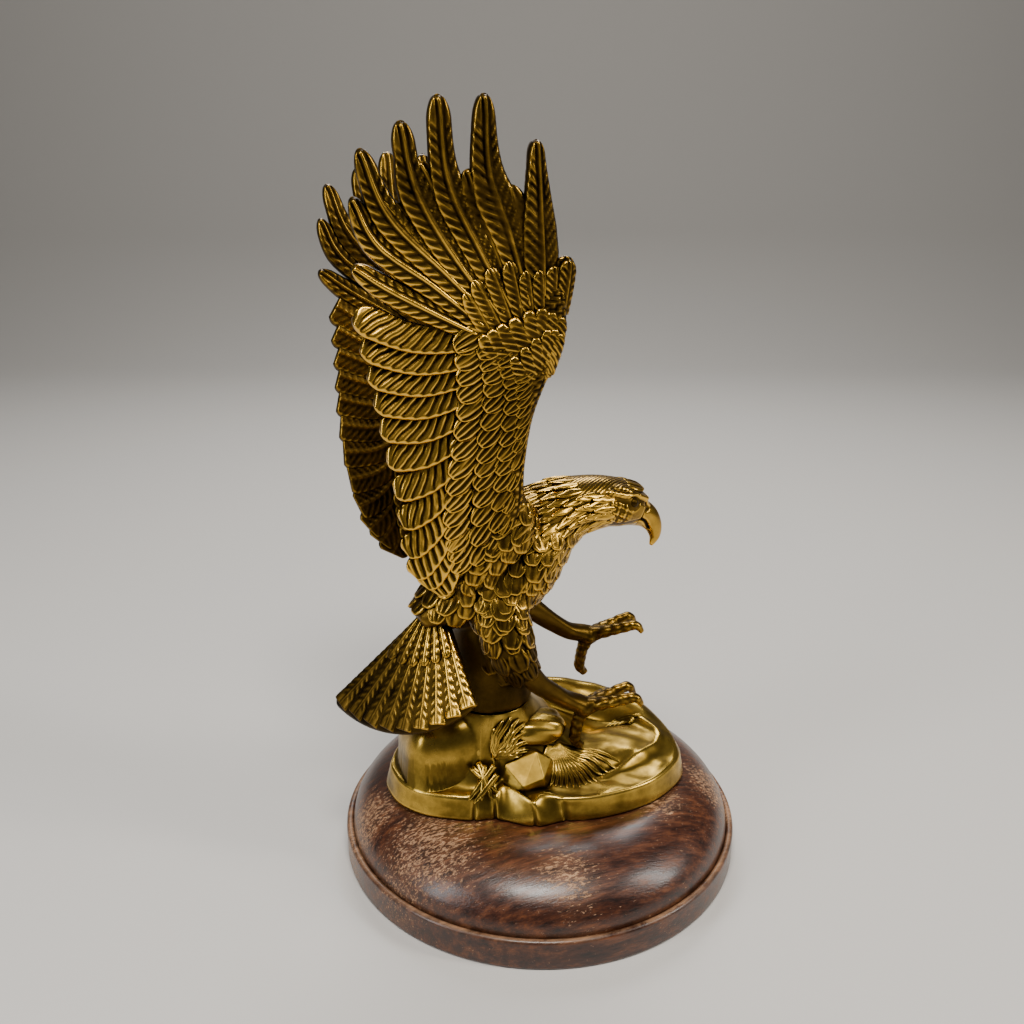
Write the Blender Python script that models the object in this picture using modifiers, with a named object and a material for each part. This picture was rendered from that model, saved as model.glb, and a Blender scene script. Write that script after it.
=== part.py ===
"""A cast brass eagle landing with raised wings, on a polished brass rock and a turned wooden plinth.

The frame has its origin at the centre of the plinth's underside, +Z up, and the eagle faces +X.
Sizes are in metres. The eagle is a free form, so its points are in units of its own height: x and y
run from the plinth's axis, and z from the flat foot of the stump that it was cast with. The rock's
outline is in shares of its length and width.
"""

import math

import bmesh
import bpy
import numpy as np
from mathutils import Matrix, Vector

# Turned plinth
PLINTH_RADIUS = 0.097
PLINTH_HEIGHT = 0.037
PLINTH_FLAT_RADIUS = 0.060
BAND_HEIGHT = 0.0137
BAND_LEDGE = 0.0035
BAND_ROUNDING = 0.0015
PLINTH_STEPS = 48
SHOULDER_STEPS = 8

# Rock, from the plinth's top to the flat seat of the eagle's stump
ROCK_LENGTH = 0.147
ROCK_WIDTH = 0.097
ROCK_HEIGHT = 0.0457
ROCK_CENTRE = (-0.0055, -0.003)
SKIRT_HEIGHT = 0.0115
SKIRT_LEAN = 0.0025

# Eagle, from the foot of its stump to the highest feather
EAGLE_HEIGHT = 0.264

# Clearance between neighbouring castings, and between the rock and the wood
GAP = 0.0003

# One unit of the eagle is one part in 264 of its height, a millimetre at the modelled size
UNIT = EAGLE_HEIGHT / 264


def clear_scene():
    for obj in list(bpy.data.objects):
        bpy.data.objects.remove(obj, do_unlink=True)


def new_collection(name, hidden=False):
    made = bpy.data.collections.new(name)
    made.hide_render = hidden
    bpy.context.scene.collection.children.link(made)
    return made


def principled(name, colour, roughness, metallic):
    made = bpy.data.materials.new(name)
    made.use_nodes = True
    shader = made.node_tree.nodes["Principled BSDF"]
    shader.inputs["Base Color"].default_value = (*colour, 1.0)
    shader.inputs["Roughness"].default_value = roughness
    shader.inputs["Metallic"].default_value = metallic
    return made


# Lofts


def loft(rings):
    """A closed body through rings of equal point counts, capped flat at both ends."""
    bm = bmesh.new()
    rows = [[bm.verts.new(point) for point in ring] for ring in rings]
    for low, high in zip(rows, rows[1:]):
        for i in range(len(low)):
            j = (i + 1) % len(low)
            bm.faces.new((low[i], low[j], high[j], high[i]))
    bm.faces.new(reversed(rows[0]))
    bm.faces.new(rows[-1])
    bmesh.ops.triangulate(bm, faces=bm.faces[:])
    bmesh.ops.recalc_face_normals(bm, faces=bm.faces[:])
    mesh = bpy.data.meshes.new("loft")
    bm.to_mesh(mesh)
    bm.free()
    return mesh


def smooth_path(points, count):
    """Evenly parted samples of a Catmull-Rom curve through points of any number of values."""
    knots = np.array(points, float)
    knots = np.vstack([2 * knots[0] - knots[1], knots, 2 * knots[-1] - knots[-2]])
    samples = []
    for share in np.linspace(0, len(points) - 1, count):
        i = min(int(share), len(points) - 2)
        t = share - i
        a, b, c, d = knots[i : i + 4]
        samples.append(
            0.5 * (2 * b + (c - a) * t + (2 * a - 5 * b + 4 * c - d) * t**2 + (3 * b - a - 3 * c + d) * t**3)
        )
    return np.array(samples)


def tube(stations, count, sides, side_axis=(0, 1, 0)):
    """A limb along stations of (x, y, z, half width, half depth), its width along side_axis."""
    samples = smooth_path(stations, count)
    rings = []
    for i, (x, y, z, wide, deep) in enumerate(samples):
        before = samples[max(i - 1, 0)][:3]
        after = samples[min(i + 1, count - 1)][:3]
        along = Vector(after - before).normalized()
        across = Vector(side_axis)
        across = (across - along * across.dot(along)).normalized()
        up = across.cross(along)
        ring = []
        for k in range(sides):
            turn = 2 * math.pi * k / sides
            ring.append(Vector((x, y, z)) + across * wide * math.cos(turn) + up * deep * math.sin(turn))
        rings.append(ring)
    return loft(rings)


# Wing: every feather is laid out in the plane of x and z, and the wing's own curve gives its y

WING_FOOT = 76.0
WING_FOOT_Y = 20.0
WING_LEAN = 0.125
WING_CAMBER = 3.0
WING_CHORD = 80.0
WING_LEADING_X = -6.0


def wing_middle_y(x, z):
    """Distance of the wing's middle surface from the eagle's own middle plane."""
    share = min(max((WING_LEADING_X - x) / WING_CHORD, 0.0), 1.0)
    return WING_FOOT_Y + WING_LEAN * (z - WING_FOOT) + WING_CAMBER * math.sin(math.pi * share)


# A feather swells from its root to this share of its length, narrows from the next share on, and
# keeps this share of its depth at the very tip
SWELL_END = 0.6
TIP_START = 0.55
TIP_DEPTH = 0.55


def blade(points, width, thickness, count, root_share=0.6, blunt=0.35):
    """A feather: a rhombic section along points of (x, z) from root to tip, with a keel on each face."""
    samples = smooth_path(points, count)
    rings = []
    for i, (x, z) in enumerate(samples):
        share = i / (count - 1)
        before = samples[max(i - 1, 0)]
        after = samples[min(i + 1, count - 1)]
        along = np.array(after - before)
        along /= np.linalg.norm(along)
        across = np.array((-along[1], along[0]))
        swell = root_share + (1 - root_share) * math.sin(0.5 * math.pi * min(share / SWELL_END, 1.0))
        past = max(share - TIP_START, 0.0) / (1 - TIP_START)
        end = math.sqrt(1 - past**2 * (1 - blunt**2))
        half = 0.5 * width * swell * end
        deep = 0.5 * thickness * (TIP_DEPTH + (1 - TIP_DEPTH) * end)
        y = wing_middle_y(x, z)
        edge = across * half
        rings.append(
            [
                (x - edge[0], y, z - edge[1]),
                (x, y + deep, z),
                (x + edge[0], y, z + edge[1]),
                (x, y - deep, z),
            ]
        )
    return loft(rings)


# Primaries from the leading edge backwards: root, middle and tip
PRIMARIES = (
    ((-14, 190), (-16.5, 216), (-19.5, 249)),
    ((-19, 186), (-29, 215), (-38, 238), (-40, 264)),
    ((-26, 186), (-40, 209), (-53, 235), (-56.5, 263.5)),
    ((-30, 184), (-48, 205), (-64, 231), (-69.5, 255)),
    ((-33, 182), (-53, 202), (-74, 223), (-83.5, 246)),
    ((-36, 180), (-58, 198), (-78, 213), (-86.5, 230)),
    ((-39, 178), (-60, 189), (-76, 198), (-87, 206)),
)
PRIMARY_WIDTHS = (13.0, 14.0, 13.0, 12.5, 12.0, 11.0, 10.5)

# Secondaries, whose roots and tips follow two curves from the top of the row to its foot
SECONDARY_ROOTS = ((-43, 177), (-43, 158), (-45, 135), (-48, 112), (-46, 96))
SECONDARY_TIPS = ((-87, 188), (-82, 164), (-77.5, 139), (-72, 108), (-67, 78), (-56, 66))
SECONDARY_COUNT = 12
SECONDARY_WIDTH = 14.0
SECONDARY_BOW = 4.0

# Rows of coverts as (roots, tips, count, width): each root and tip row is a curve
COVERT_ROWS = (
    (((-24, 180), (-14, 184), (-7, 184)), ((-40, 203), (-24, 210), (-8, 208)), 6, 9.0),
    (((-30, 172), (-28, 150), (-31, 125), (-33, 96)), ((-52, 186), (-52, 152), (-55, 120), (-53, 80)), 9, 10.5),
    (((-20, 172), (-19, 150), (-22, 125), (-24, 100)), ((-38, 178), (-38, 150), (-40, 122), (-40, 90)), 9, 10.0),
    (((-12, 180), (-14, 158), (-18, 132), (-20, 108)), ((-26, 180), (-28, 154), (-31, 126), (-33, 98)), 8, 10.0),
)

# Thickness of the feathers from keel to keel
PRIMARY_DEPTH = 4.8
SECONDARY_DEPTH = 6.2
COVERT_DEPTH = 10.0

# Core of the wing that the feathers stand in, as (z, leading x, trailing x)
WING_CORE = (
    (76, -36, -50),
    (88, -24, -56),
    (104, -18.5, -60),
    (122, -18, -63),
    (142, -15.5, -66),
    (158, -10, -69),
    (172, -4, -68),
    (186, -3.2, -58),
    (198, -5.5, -40),
    (207, -8.5, -22),
)
WING_CORE_DEPTH = 8.0
WING_EDGE_DEPTH = 2.0
# Section of the core from the leading edge back, as (share of the chord, share of the depth)
WING_SECTION = ((0.0, 0.35), (0.05, 0.8), (0.14, 1.0), (0.5, 0.62), (1.0, 0.0))


def wing_core():
    rings = []
    for z, front, back in WING_CORE:
        ring = []
        for share, deep in WING_SECTION:
            x = front + (back - front) * share
            ring.append((x, 0.5 * (WING_EDGE_DEPTH + (WING_CORE_DEPTH - WING_EDGE_DEPTH) * deep)))
        outer = [(x, wing_middle_y(x, z) + half, z) for x, half in ring]
        inner = [(x, wing_middle_y(x, z) - half, z) for x, half in reversed(ring)]
        rings.append(outer + inner)
    return loft(rings)


def curve_points(points, count):
    return [tuple(p) for p in smooth_path(points, count)]


def wing_pieces():
    """Meshes of the wing on the side of +Y."""
    pieces = [wing_core()]
    for points, width in zip(PRIMARIES, PRIMARY_WIDTHS):
        pieces.append(blade(points, width, PRIMARY_DEPTH, 6))
    roots = curve_points(SECONDARY_ROOTS, SECONDARY_COUNT)
    tips = curve_points(SECONDARY_TIPS, SECONDARY_COUNT)
    for root, tip in zip(roots, tips):
        middle = (0.5 * (root[0] + tip[0]), 0.5 * (root[1] + tip[1]) - SECONDARY_BOW)
        pieces.append(blade((root, middle, tip), SECONDARY_WIDTH, SECONDARY_DEPTH, 5, blunt=0.6))
    for roots, tips, count, width in COVERT_ROWS:
        for root, tip in zip(curve_points(roots, count), curve_points(tips, count)):
            pieces.append(blade((root, tip), width, COVERT_DEPTH, 3, root_share=0.8, blunt=0.6))
    return pieces


# Far wing: it leans out more than the near one, and is shorter, lower and further back
FAR_WING_LEAN = math.radians(5)
FAR_WING_PITCH = math.radians(5)
FAR_WING_SHORTER = 0.92
FAR_WING_SHIFT = (-2.0, 0.0, 3.5)
FAR_WING_HINGE = (0.0, WING_FOOT_Y, WING_FOOT)
FAR_WING_WRIST = (-40.0, 0.0, 187.0)


def far_wing_matrix():
    hinge = Matrix.Translation(FAR_WING_HINGE)
    wrist = Matrix.Translation(FAR_WING_WRIST)
    lean = hinge @ Matrix.Rotation(-FAR_WING_LEAN, 4, "X") @ hinge.inverted()
    pitch = wrist @ Matrix.Rotation(FAR_WING_PITCH, 4, "Y") @ wrist.inverted()
    shorter = Matrix.Scale(FAR_WING_SHORTER, 4, (0, 0, 1))
    return lean @ pitch @ Matrix.Translation(FAR_WING_SHIFT) @ shorter


# Body, neck and head, as (x, y, z, half width, half depth)
BODY = (
    (-60, -2, 45, 8, 5),
    (-50, -1, 50, 15, 11),
    (-36, 0, 57, 22, 19),
    (-19, 0, 67, 26, 22.5),
    (-6, 0, 79.5, 23.5, 19.5),
    (8, 0, 89, 16.5, 14.8),
    (21, 0, 91.5, 13.5, 13),
    (32, 0, 91, 12, 12),
    (40, 0, 89, 11.3, 11),
    (47, 0, 86, 8.5, 8.5),
)
BEAK = (
    (42, 0, 86, 7.5, 7.5),
    (51, 0, 82.5, 5.0, 6.4),
    (56, 0, 77, 3.6, 4.6),
    (57.4, 0, 71, 2.3, 2.9),
    (55.6, 0, 66, 0.8, 1.0),
)
BROW = ((29, 0, 100, 8.5, 1.8), (38, 0, 98.6, 9.2, 2.2), (48, 0, 91.5, 6.4, 1.6))
SHOULDER_PAD = ((-44, 13, 66, 8, 9), (-34, 15, 78, 11, 14), (-22, 17, 92, 11, 16), (-16, 20, 112, 6, 9))
STUMP = (
    (-26, -1, -5, 20, 20),
    (-26, -1, 5, 20, 20),
    (-26.5, -1, 16, 20, 20),
    (-27, -1, 28, 19.5, 18.5),
    (-28, -1, 41, 18, 16),
    (-30, -1, 52, 14, 12),
)

# Legs: thigh, shank and toes on the side that is named, as (x, y, z, half width, half depth)
NEAR_THIGH = ((-26, -15, 66, 9, 13), (-26, -20, 50, 10, 12), (-22, -23, 33, 9, 10), (-15, -22, 19, 6, 6.5))
NEAR_SHANK = ((-17, -22, 24, 5.5, 6), (-9, -22, 14, 4.6, 5), (3, -21, 4, 4, 4.4), (15, -20, -4, 4.6, 4.8))
FAR_THIGH = ((-22, 12, 62, 9, 12), (-14, 16, 50, 9, 10), (-6, 18, 40, 8, 8), (1, 18, 33, 5.5, 5.5))
FAR_SHANK = ((-4, 18, 37, 6, 6), (8, 18, 27, 4.8, 5), (20, 18, 18, 4, 4.4), (32, 18, 13, 4.6, 4.8))
TOE_HALF = 2.6
CLAW_HALF = 0.9
# Toe middles and claw tips from the ankle: forward, up or down, and sideways
TOES = (
    ((11, 5, -8), (20, 8, -12), (24, 4, -13)),
    ((12, 4, 0), (22, 7, 0), (26, 2, 0)),
    ((11, -1, 8), (18, -2, 12), (22, -6, 12)),
    ((-3, -8, 0), (-4, -17, 1), (-1, -23, 1)),
)


def foot_pieces(ankle):
    x, y, z = ankle
    pieces = [tube(((x - 4, y, z + 2, 3.6, 3.8), (x, y, z, 5.4, 5.2), (x + 4, y, z - 1, 3.6, 3.4)), 5, 8)]
    for points in TOES:
        stations = [(*ankle, 3.4, 3.4)]
        halves = (TOE_HALF, TOE_HALF * 0.9, CLAW_HALF)
        for (ahead, rise, side), half in zip(points, halves):
            stations.append((ankle[0] + ahead, ankle[1] + side, ankle[2] + rise, half, half))
        pieces.append(tube(stations, 6, 6))
    return pieces


# Rows of scale feathers lying back along a limb, as (first share, last share, rows, scales in a row)
BODY_SCALES = (0.16, 0.68, 7, 10)
THIGH_SCALES = (0.12, 0.80, 5, 6)
SCALE_LENGTH = 1.4
SCALE_WIDTH = 1.24
SCALE_RISE = 2.2
SCALE_SINK = 3.0
# A scale at its root, middle and tip, as (share of the length, of the half width, of the rise)
SCALE_SHAPE = ((0.0, 0.55, -0.4), (0.45, 1.0, 0.7), (1.0, 0.45, 1.0))


def limb_point(stations, share, turn, rise):
    """A point over the skin of a limb, at a share of its length and a turn round it from its own +Y."""
    last = len(stations) - 1
    fine = 40
    samples = smooth_path(stations, fine * last + 1)
    i = min(max(int(share * fine * last), 0), fine * last)
    before = samples[max(i - 1, 0)][:3]
    after = samples[min(i + 1, fine * last)][:3]
    along = Vector(after - before).normalized()
    across = Vector((0, 1, 0))
    across = (across - along * across.dot(along)).normalized()
    up = across.cross(along)
    x, y, z, wide, deep = samples[i]
    wide += rise
    deep += rise
    return Vector((x, y, z)) + across * wide * math.cos(turn) + up * deep * math.sin(turn)


def scale_feather(stations, share, length, turn, spread):
    """A pointed scale whose tip lies back at a lower share and stands over the skin."""
    rings = []
    for back, wide, rise in SCALE_SHAPE:
        at = share - length * back
        low = -SCALE_SINK
        high = SCALE_RISE * rise
        rings.append(
            [
                limb_point(stations, at, turn - spread * wide, low),
                limb_point(stations, at, turn, high),
                limb_point(stations, at, turn + spread * wide, low),
                limb_point(stations, at, turn, low - SCALE_SINK),
            ]
        )
    return loft(rings)


def scale_rows(stations, layout):
    first, last, rows, count = layout
    pieces = []
    step = (last - first) / (rows - 1)
    for row in range(rows):
        share = first + step * row
        for i in range(count):
            turn = 2 * math.pi * (i + 0.5 * (row % 2)) / count
            spread = SCALE_WIDTH * math.pi / count
            pieces.append(scale_feather(stations, share, SCALE_LENGTH * step, turn, spread))
    return pieces


# Tail: a fan of feathers in one sloping plane
TAIL_ROOT = (-50, -1, 54)
TAIL_TURN = math.radians(220)
TAIL_SLOPE = math.radians(60)
TAIL_FAR_ANGLE = math.radians(-31)
TAIL_NEAR_ANGLE = math.radians(35)
TAIL_FAR_LENGTH = 72.0
TAIL_NEAR_LENGTH = 54.0
TAIL_FEATHERS = 9
TAIL_WIDTH = 12.5
TAIL_DEPTH = 5.5
TAIL_COVERTS = 6
TAIL_COVERT_REACH = 0.52
TAIL_COVERT_WIDTH = 13.0
TAIL_COVERT_DEPTH = 8.5
# Starts of the feathers and of the coverts along the fan, and the coverts' rise over the feathers
TAIL_START = 2.0
TAIL_COVERT_START = -6.0
TAIL_COVERT_RISE = 0.5
# The fan is bowed: its two edges hang lower than its middle
TAIL_BOW = 2.0
TAIL_BOW_RATE = 2.2
# A tail feather from root to tip, as (share of the length, of the width, of the depth)
TAIL_SHAPE = ((0.0, 0.35, 1.0), (0.25, 0.51, 1.0), (0.5, 0.68, 1.0), (0.75, 0.84, 1.0), (1.0, 0.62, 0.6))


def tail_matrix():
    """The fan's plane: its local X runs along the middle feather, and local Z is its upper face."""
    along = Vector(
        (
            math.cos(TAIL_TURN) * math.cos(TAIL_SLOPE),
            math.sin(TAIL_TURN) * math.cos(TAIL_SLOPE),
            -math.sin(TAIL_SLOPE),
        )
    )
    across = Vector((0, 0, 1)).cross(along).normalized()
    face = along.cross(across)
    turn = Matrix((along, across, face)).transposed().to_4x4()
    return Matrix.Translation(TAIL_ROOT) @ turn


def tail_blade(angle, start, length, width, thickness, rise):
    ahead = Vector((math.cos(angle), math.sin(angle), 0))
    side = Vector((-math.sin(angle), math.cos(angle), 0))
    middle = Vector((0, 0, rise + TAIL_BOW * (math.cos(angle * TAIL_BOW_RATE) - 1)))
    rings = []
    for share, wide, depth in TAIL_SHAPE:
        half = side * 0.5 * width * wide
        deep = Vector((0, 0, 0.5 * thickness * depth))
        centre = ahead * (start + (length - start) * share) + middle
        rings.append([centre - half, centre + deep, centre + half, centre - deep])
    return loft(rings)


def tail_angle(share):
    return TAIL_FAR_ANGLE + (TAIL_NEAR_ANGLE - TAIL_FAR_ANGLE) * share


def tail_reach(share):
    return TAIL_FAR_LENGTH + (TAIL_NEAR_LENGTH - TAIL_FAR_LENGTH) * share


def tail_pieces():
    pieces = []
    for share in np.linspace(0, 1, TAIL_FEATHERS):
        angle = tail_angle(share)
        pieces.append(tail_blade(angle, TAIL_START, tail_reach(share), TAIL_WIDTH, TAIL_DEPTH, 0.0))
    inset = 0.5 / TAIL_COVERTS
    for share in np.linspace(inset, 1 - inset, TAIL_COVERTS):
        angle = tail_angle(share)
        reach = tail_reach(share) * TAIL_COVERT_REACH
        covert = (TAIL_COVERT_START, reach, TAIL_COVERT_WIDTH, TAIL_COVERT_DEPTH, TAIL_COVERT_RISE)
        pieces.append(tail_blade(angle, *covert))
    return pieces


# Joining


def placed(mesh, matrix):
    mesh = mesh.copy()
    mesh.transform(matrix)
    if matrix.determinant() < 0:
        mesh.flip_normals()
    return mesh


def joined(meshes):
    """One mesh that holds every closed mesh, still overlapping."""
    bm = bmesh.new()
    for mesh in meshes:
        bm.from_mesh(mesh)
    made = bpy.data.meshes.new("joined")
    bm.to_mesh(made)
    bm.free()
    return made


def outer_skin(mesh):
    """Keeps the largest island, and so drops the walls of hollows sealed inside."""
    bm = bmesh.new()
    bm.from_mesh(mesh)
    unseen = set(bm.verts)
    islands = []
    while unseen:
        island = {unseen.pop()}
        edge = list(island)
        while edge:
            for link in edge.pop().link_edges:
                for vert in link.verts:
                    if vert in unseen:
                        unseen.remove(vert)
                        island.add(vert)
                        edge.append(vert)
        islands.append(island)
    islands.sort(key=len)
    for island in islands[:-1]:
        bmesh.ops.delete(bm, geom=list(island), context="VERTS")
    bmesh.ops.triangulate(bm, faces=bm.faces[:])
    bm.to_mesh(mesh)
    bm.free()


def with_modifier(name, mesh, kind, helpers, settings):
    """The mesh of a helper object after one modifier."""
    helper = bpy.data.objects.new(name, mesh)
    helper.hide_render = True
    helper.display_type = "WIRE"
    helpers.objects.link(helper)
    modifier = helper.modifiers.new(kind.lower(), kind)
    for key, value in settings.items():
        setattr(modifier, key, value)
    bpy.context.view_layer.update()
    graph = bpy.context.evaluated_depsgraph_get()
    made = bpy.data.meshes.new_from_object(helper.evaluated_get(graph))
    bpy.data.objects.remove(helper, do_unlink=True)
    return made


def casting(name, meshes, collection, helpers, material, voxel, kept_share):
    """One solid casting from overlapping closed meshes, with few faces where it is smooth."""
    rough = joined(meshes)
    skin = with_modifier(name + "_rough", rough, "REMESH", helpers, {"mode": "VOXEL", "voxel_size": voxel})
    outer_skin(skin)
    thin = with_modifier(name + "_skin", skin, "DECIMATE", helpers, {"ratio": kept_share})
    thin.materials.clear()
    thin.materials.append(material)
    made = bpy.data.objects.new(name, thin)
    collection.objects.link(made)
    return made


def flat_cut(made, name, centre, radius, near, far, helpers):
    """Cuts a casting off flat at the height near, by a round cutter that ends at the height far."""
    bm = bmesh.new()
    middle = Matrix.Translation((*centre, 0.5 * (near + far)))
    bmesh.ops.create_cone(
        bm,
        cap_ends=True,
        segments=CUTTER_SIDES,
        radius1=radius,
        radius2=radius,
        depth=abs(far - near),
        matrix=middle,
    )
    mesh = bpy.data.meshes.new(name)
    bm.to_mesh(mesh)
    bm.free()
    cutter = bpy.data.objects.new(name, mesh)
    cutter.hide_render = True
    cutter.display_type = "WIRE"
    helpers.objects.link(cutter)
    cut = made.modifiers.new(name, "BOOLEAN")
    cut.operation = "DIFFERENCE"
    cut.solver = "EXACT"
    cut.object = cutter


# The castings are made longer than their flat faces, and are cut off at them
CUT_ALLOWANCE = 0.005
CUTTER_SIDES = 40

# Eagle

EAGLE_VOXEL = 0.8 * UNIT
EAGLE_KEPT_SHARE = 0.0162


def eagle(collection, helpers, material):
    pieces = [tube(BODY, 15, 14), tube(BEAK, 8, 8), tube(STUMP, 7, 16), tube(BROW, 4, 6)]
    for limb in (NEAR_THIGH, FAR_THIGH):
        pieces.append(tube(limb, 6, 10))
    for limb in (NEAR_SHANK, FAR_SHANK):
        pieces.append(tube(limb, 5, 8))
        pieces += foot_pieces(limb[-1][:3])
    pieces += scale_rows(BODY, BODY_SCALES)
    pieces += scale_rows(NEAR_THIGH, THIGH_SCALES)
    pieces += [placed(mesh, tail_matrix()) for mesh in tail_pieces()]
    wing = wing_pieces()
    mirror = Matrix.Scale(-1, 4, (0, 1, 0))
    pieces += [placed(mesh, mirror) for mesh in wing]
    pieces += [placed(mesh, far_wing_matrix()) for mesh in wing]
    pad = tube(SHOULDER_PAD, 6, 10)
    pieces += [placed(pad, mirror), pad]
    base = PLINTH_HEIGHT + GAP + ROCK_HEIGHT + GAP
    size = Matrix.Translation((0, 0, base)) @ Matrix.Scale(UNIT, 4)
    meshes = [placed(mesh, size) for mesh in pieces]
    made = casting("eagle", meshes, collection, helpers, material, EAGLE_VOXEL, EAGLE_KEPT_SHARE)
    centre = (SEAT[0] * UNIT, SEAT[1] * UNIT)
    flat_cut(made, "foot_cutter", centre, CUTTER_REACH * UNIT, base, base - 2 * CUT_ALLOWANCE, helpers)


# Rock: rings from its outline up to the seat, with stones and grass standing on them

# Outline as shares of the length and the width, from the left end round the front
ROCK_OUTLINE = (
    (-0.493, 0.113),
    (-0.473, -0.072),
    (-0.398, -0.216),
    (-0.269, -0.320),
    (-0.214, -0.330),
    (-0.153, -0.392),
    (-0.085, -0.464),
    (0.003, -0.454),
    (0.085, -0.485),
    (0.200, -0.485),
    (0.330, -0.443),
    (0.466, -0.309),
    (0.500, -0.200),
    (0.498, -0.020),
    (0.446, 0.216),
    (0.323, 0.381),
    (0.139, 0.474),
    (-0.065, 0.495),
    (-0.269, 0.443),
    (-0.425, 0.299),
)
ROCK_VOXEL = 0.0008
ROCK_KEPT_SHARE = 0.0165
ROCK_STEPS = 48
ROCK_RINGS = 6
# Middle and radius of the stump's seat, and the reach of the cutters there, in the eagle's units
SEAT = (-26.0, -1.0, 23.0)
CUTTER_REACH = 25.0
# How suddenly the ground rises to the seat: gently at the back left, late at the front right
RISE_BACK = 0.8
RISE_FRONT = 4.6
RISE_FRONT_TURN = math.radians(-35)

# Stones as (centre in shares of length, width and height, radii in shares of the height)
BOULDER = ((-0.300, 0.060, 0.50), (0.52, 0.50, 0.42))
LEDGE_STONE = ((-0.020, -0.110, 0.68), (0.32, 0.22, 0.16))
FACETED_STONE = ((-0.060, -0.225, 0.26), (0.22, 0.20, 0.24))
# Rim of the pool behind the feet, as (x share, y share, z share) along its crest
RIM = ((0.440, -0.130, 0.26), (0.420, 0.090, 0.34), (0.340, 0.250, 0.42), (0.210, 0.350, 0.50), (0.060, 0.370, 0.58))
RIM_HALF = 0.17

# Grass as fans of blades: centre shares, first and last turn, count, length in shares of the height
GRASS = (
    ((-0.100, -0.090), 205, 285, 7, 0.40),
    ((-0.235, -0.225), 215, 300, 5, 0.28),
    ((0.080, -0.170), 205, 325, 9, 0.50),
)
GRASS_HALF = 0.028
# A blade's root, middle and tip, as (share of its length, share of its half width)
GRASS_SHAPE = ((0.15, 1.0), (0.55, 1.2), (1.0, 0.5))
GRASS_RISE = 0.2


def rock_rim():
    """The rock's outline as evenly turned points round the seat's centre."""
    closed = list(ROCK_OUTLINE) + list(ROCK_OUTLINE[:1])
    fine = smooth_path(closed, 12 * len(ROCK_OUTLINE))
    x = ROCK_CENTRE[0] + fine[:, 0] * ROCK_LENGTH - SEAT[0] * UNIT
    y = ROCK_CENTRE[1] + fine[:, 1] * ROCK_WIDTH - SEAT[1] * UNIT
    turns = np.unwrap(np.arctan2(y, x))
    order = np.argsort(turns)
    wanted = turns[order][0] + np.arange(ROCK_STEPS) * 2 * math.pi / ROCK_STEPS
    return wanted, np.interp(wanted, turns[order], np.hypot(x, y)[order])


def rock_height(share, turn):
    """Height over the plinth, from the skirt at share 0 up to the seat at share 1."""
    front = 0.5 + 0.5 * math.cos(turn - RISE_FRONT_TURN)
    power = RISE_BACK + (RISE_FRONT - RISE_BACK) * front
    return SKIRT_HEIGHT + (ROCK_HEIGHT - SKIRT_HEIGHT) * share**power


def rock_place(shares):
    x, y, z = shares
    return Vector((ROCK_CENTRE[0] + x * ROCK_LENGTH, ROCK_CENTRE[1] + y * ROCK_WIDTH, z * ROCK_HEIGHT))


def ground(x, y, turns, radii):
    """Height of the carved ground over the plinth at a point inside the outline."""
    x -= SEAT[0] * UNIT
    y -= SEAT[1] * UNIT
    turn = math.atan2(y, x)
    seat_radius = SEAT[2] * UNIT
    edge = np.interp(turn, turns, radii, period=2 * math.pi) - SKIRT_LEAN
    share = (edge - math.hypot(x, y)) / (edge - seat_radius)
    return rock_height(min(max(share, 0.0), 1.0), turn)


def rock_body(turns, radii):
    seat_radius = SEAT[2] * UNIT
    inner = radii - SKIRT_LEAN
    levels = [(radii, lambda turn: -CUT_ALLOWANCE), (radii, lambda turn: 0.0)]
    for i in range(ROCK_RINGS + 1):
        share = i / ROCK_RINGS
        reach = inner * (1 - share) + seat_radius * share
        levels.append((reach, lambda turn, share=share: rock_height(share, turn)))
    levels.append((0 * radii + seat_radius, lambda turn: ROCK_HEIGHT + CUT_ALLOWANCE))
    rings = []
    for reach, height in levels:
        ring = []
        for turn, radius in zip(turns, reach):
            x = SEAT[0] * UNIT + radius * math.cos(turn)
            y = SEAT[1] * UNIT + radius * math.sin(turn)
            ring.append((x, y, height(turn)))
        rings.append(ring)
    return loft(rings)


def stone(shares, radii, rings, sides):
    """An egg-shaped stone with few or many faces."""
    bm = bmesh.new()
    bmesh.ops.create_uvsphere(bm, u_segments=sides, v_segments=rings, radius=1.0)
    size = [radius * ROCK_HEIGHT for radius in radii]
    bmesh.ops.scale(bm, vec=size, verts=bm.verts)
    bmesh.ops.translate(bm, vec=rock_place(shares), verts=bm.verts)
    mesh = bpy.data.meshes.new("stone")
    bm.to_mesh(mesh)
    bm.free()
    return mesh


def grass_blades(turns, radii):
    pieces = []
    half = GRASS_HALF * ROCK_HEIGHT
    for (share_x, share_y), first, last, count, share_length in GRASS:
        root = rock_place((share_x, share_y, 0))
        length = share_length * ROCK_HEIGHT
        for angle in np.linspace(math.radians(first), math.radians(last), count):
            stations = []
            for reach, size in GRASS_SHAPE:
                x = root.x + math.cos(angle) * length * reach
                y = root.y + math.sin(angle) * length * reach
                z = ground(x, y, turns, radii) + GRASS_RISE * half
                stations.append((x, y, z, half * size, half * size))
            pieces.append(tube(stations, 3, 4, side_axis=(-math.sin(angle), math.cos(angle), 0)))
    return pieces


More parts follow.
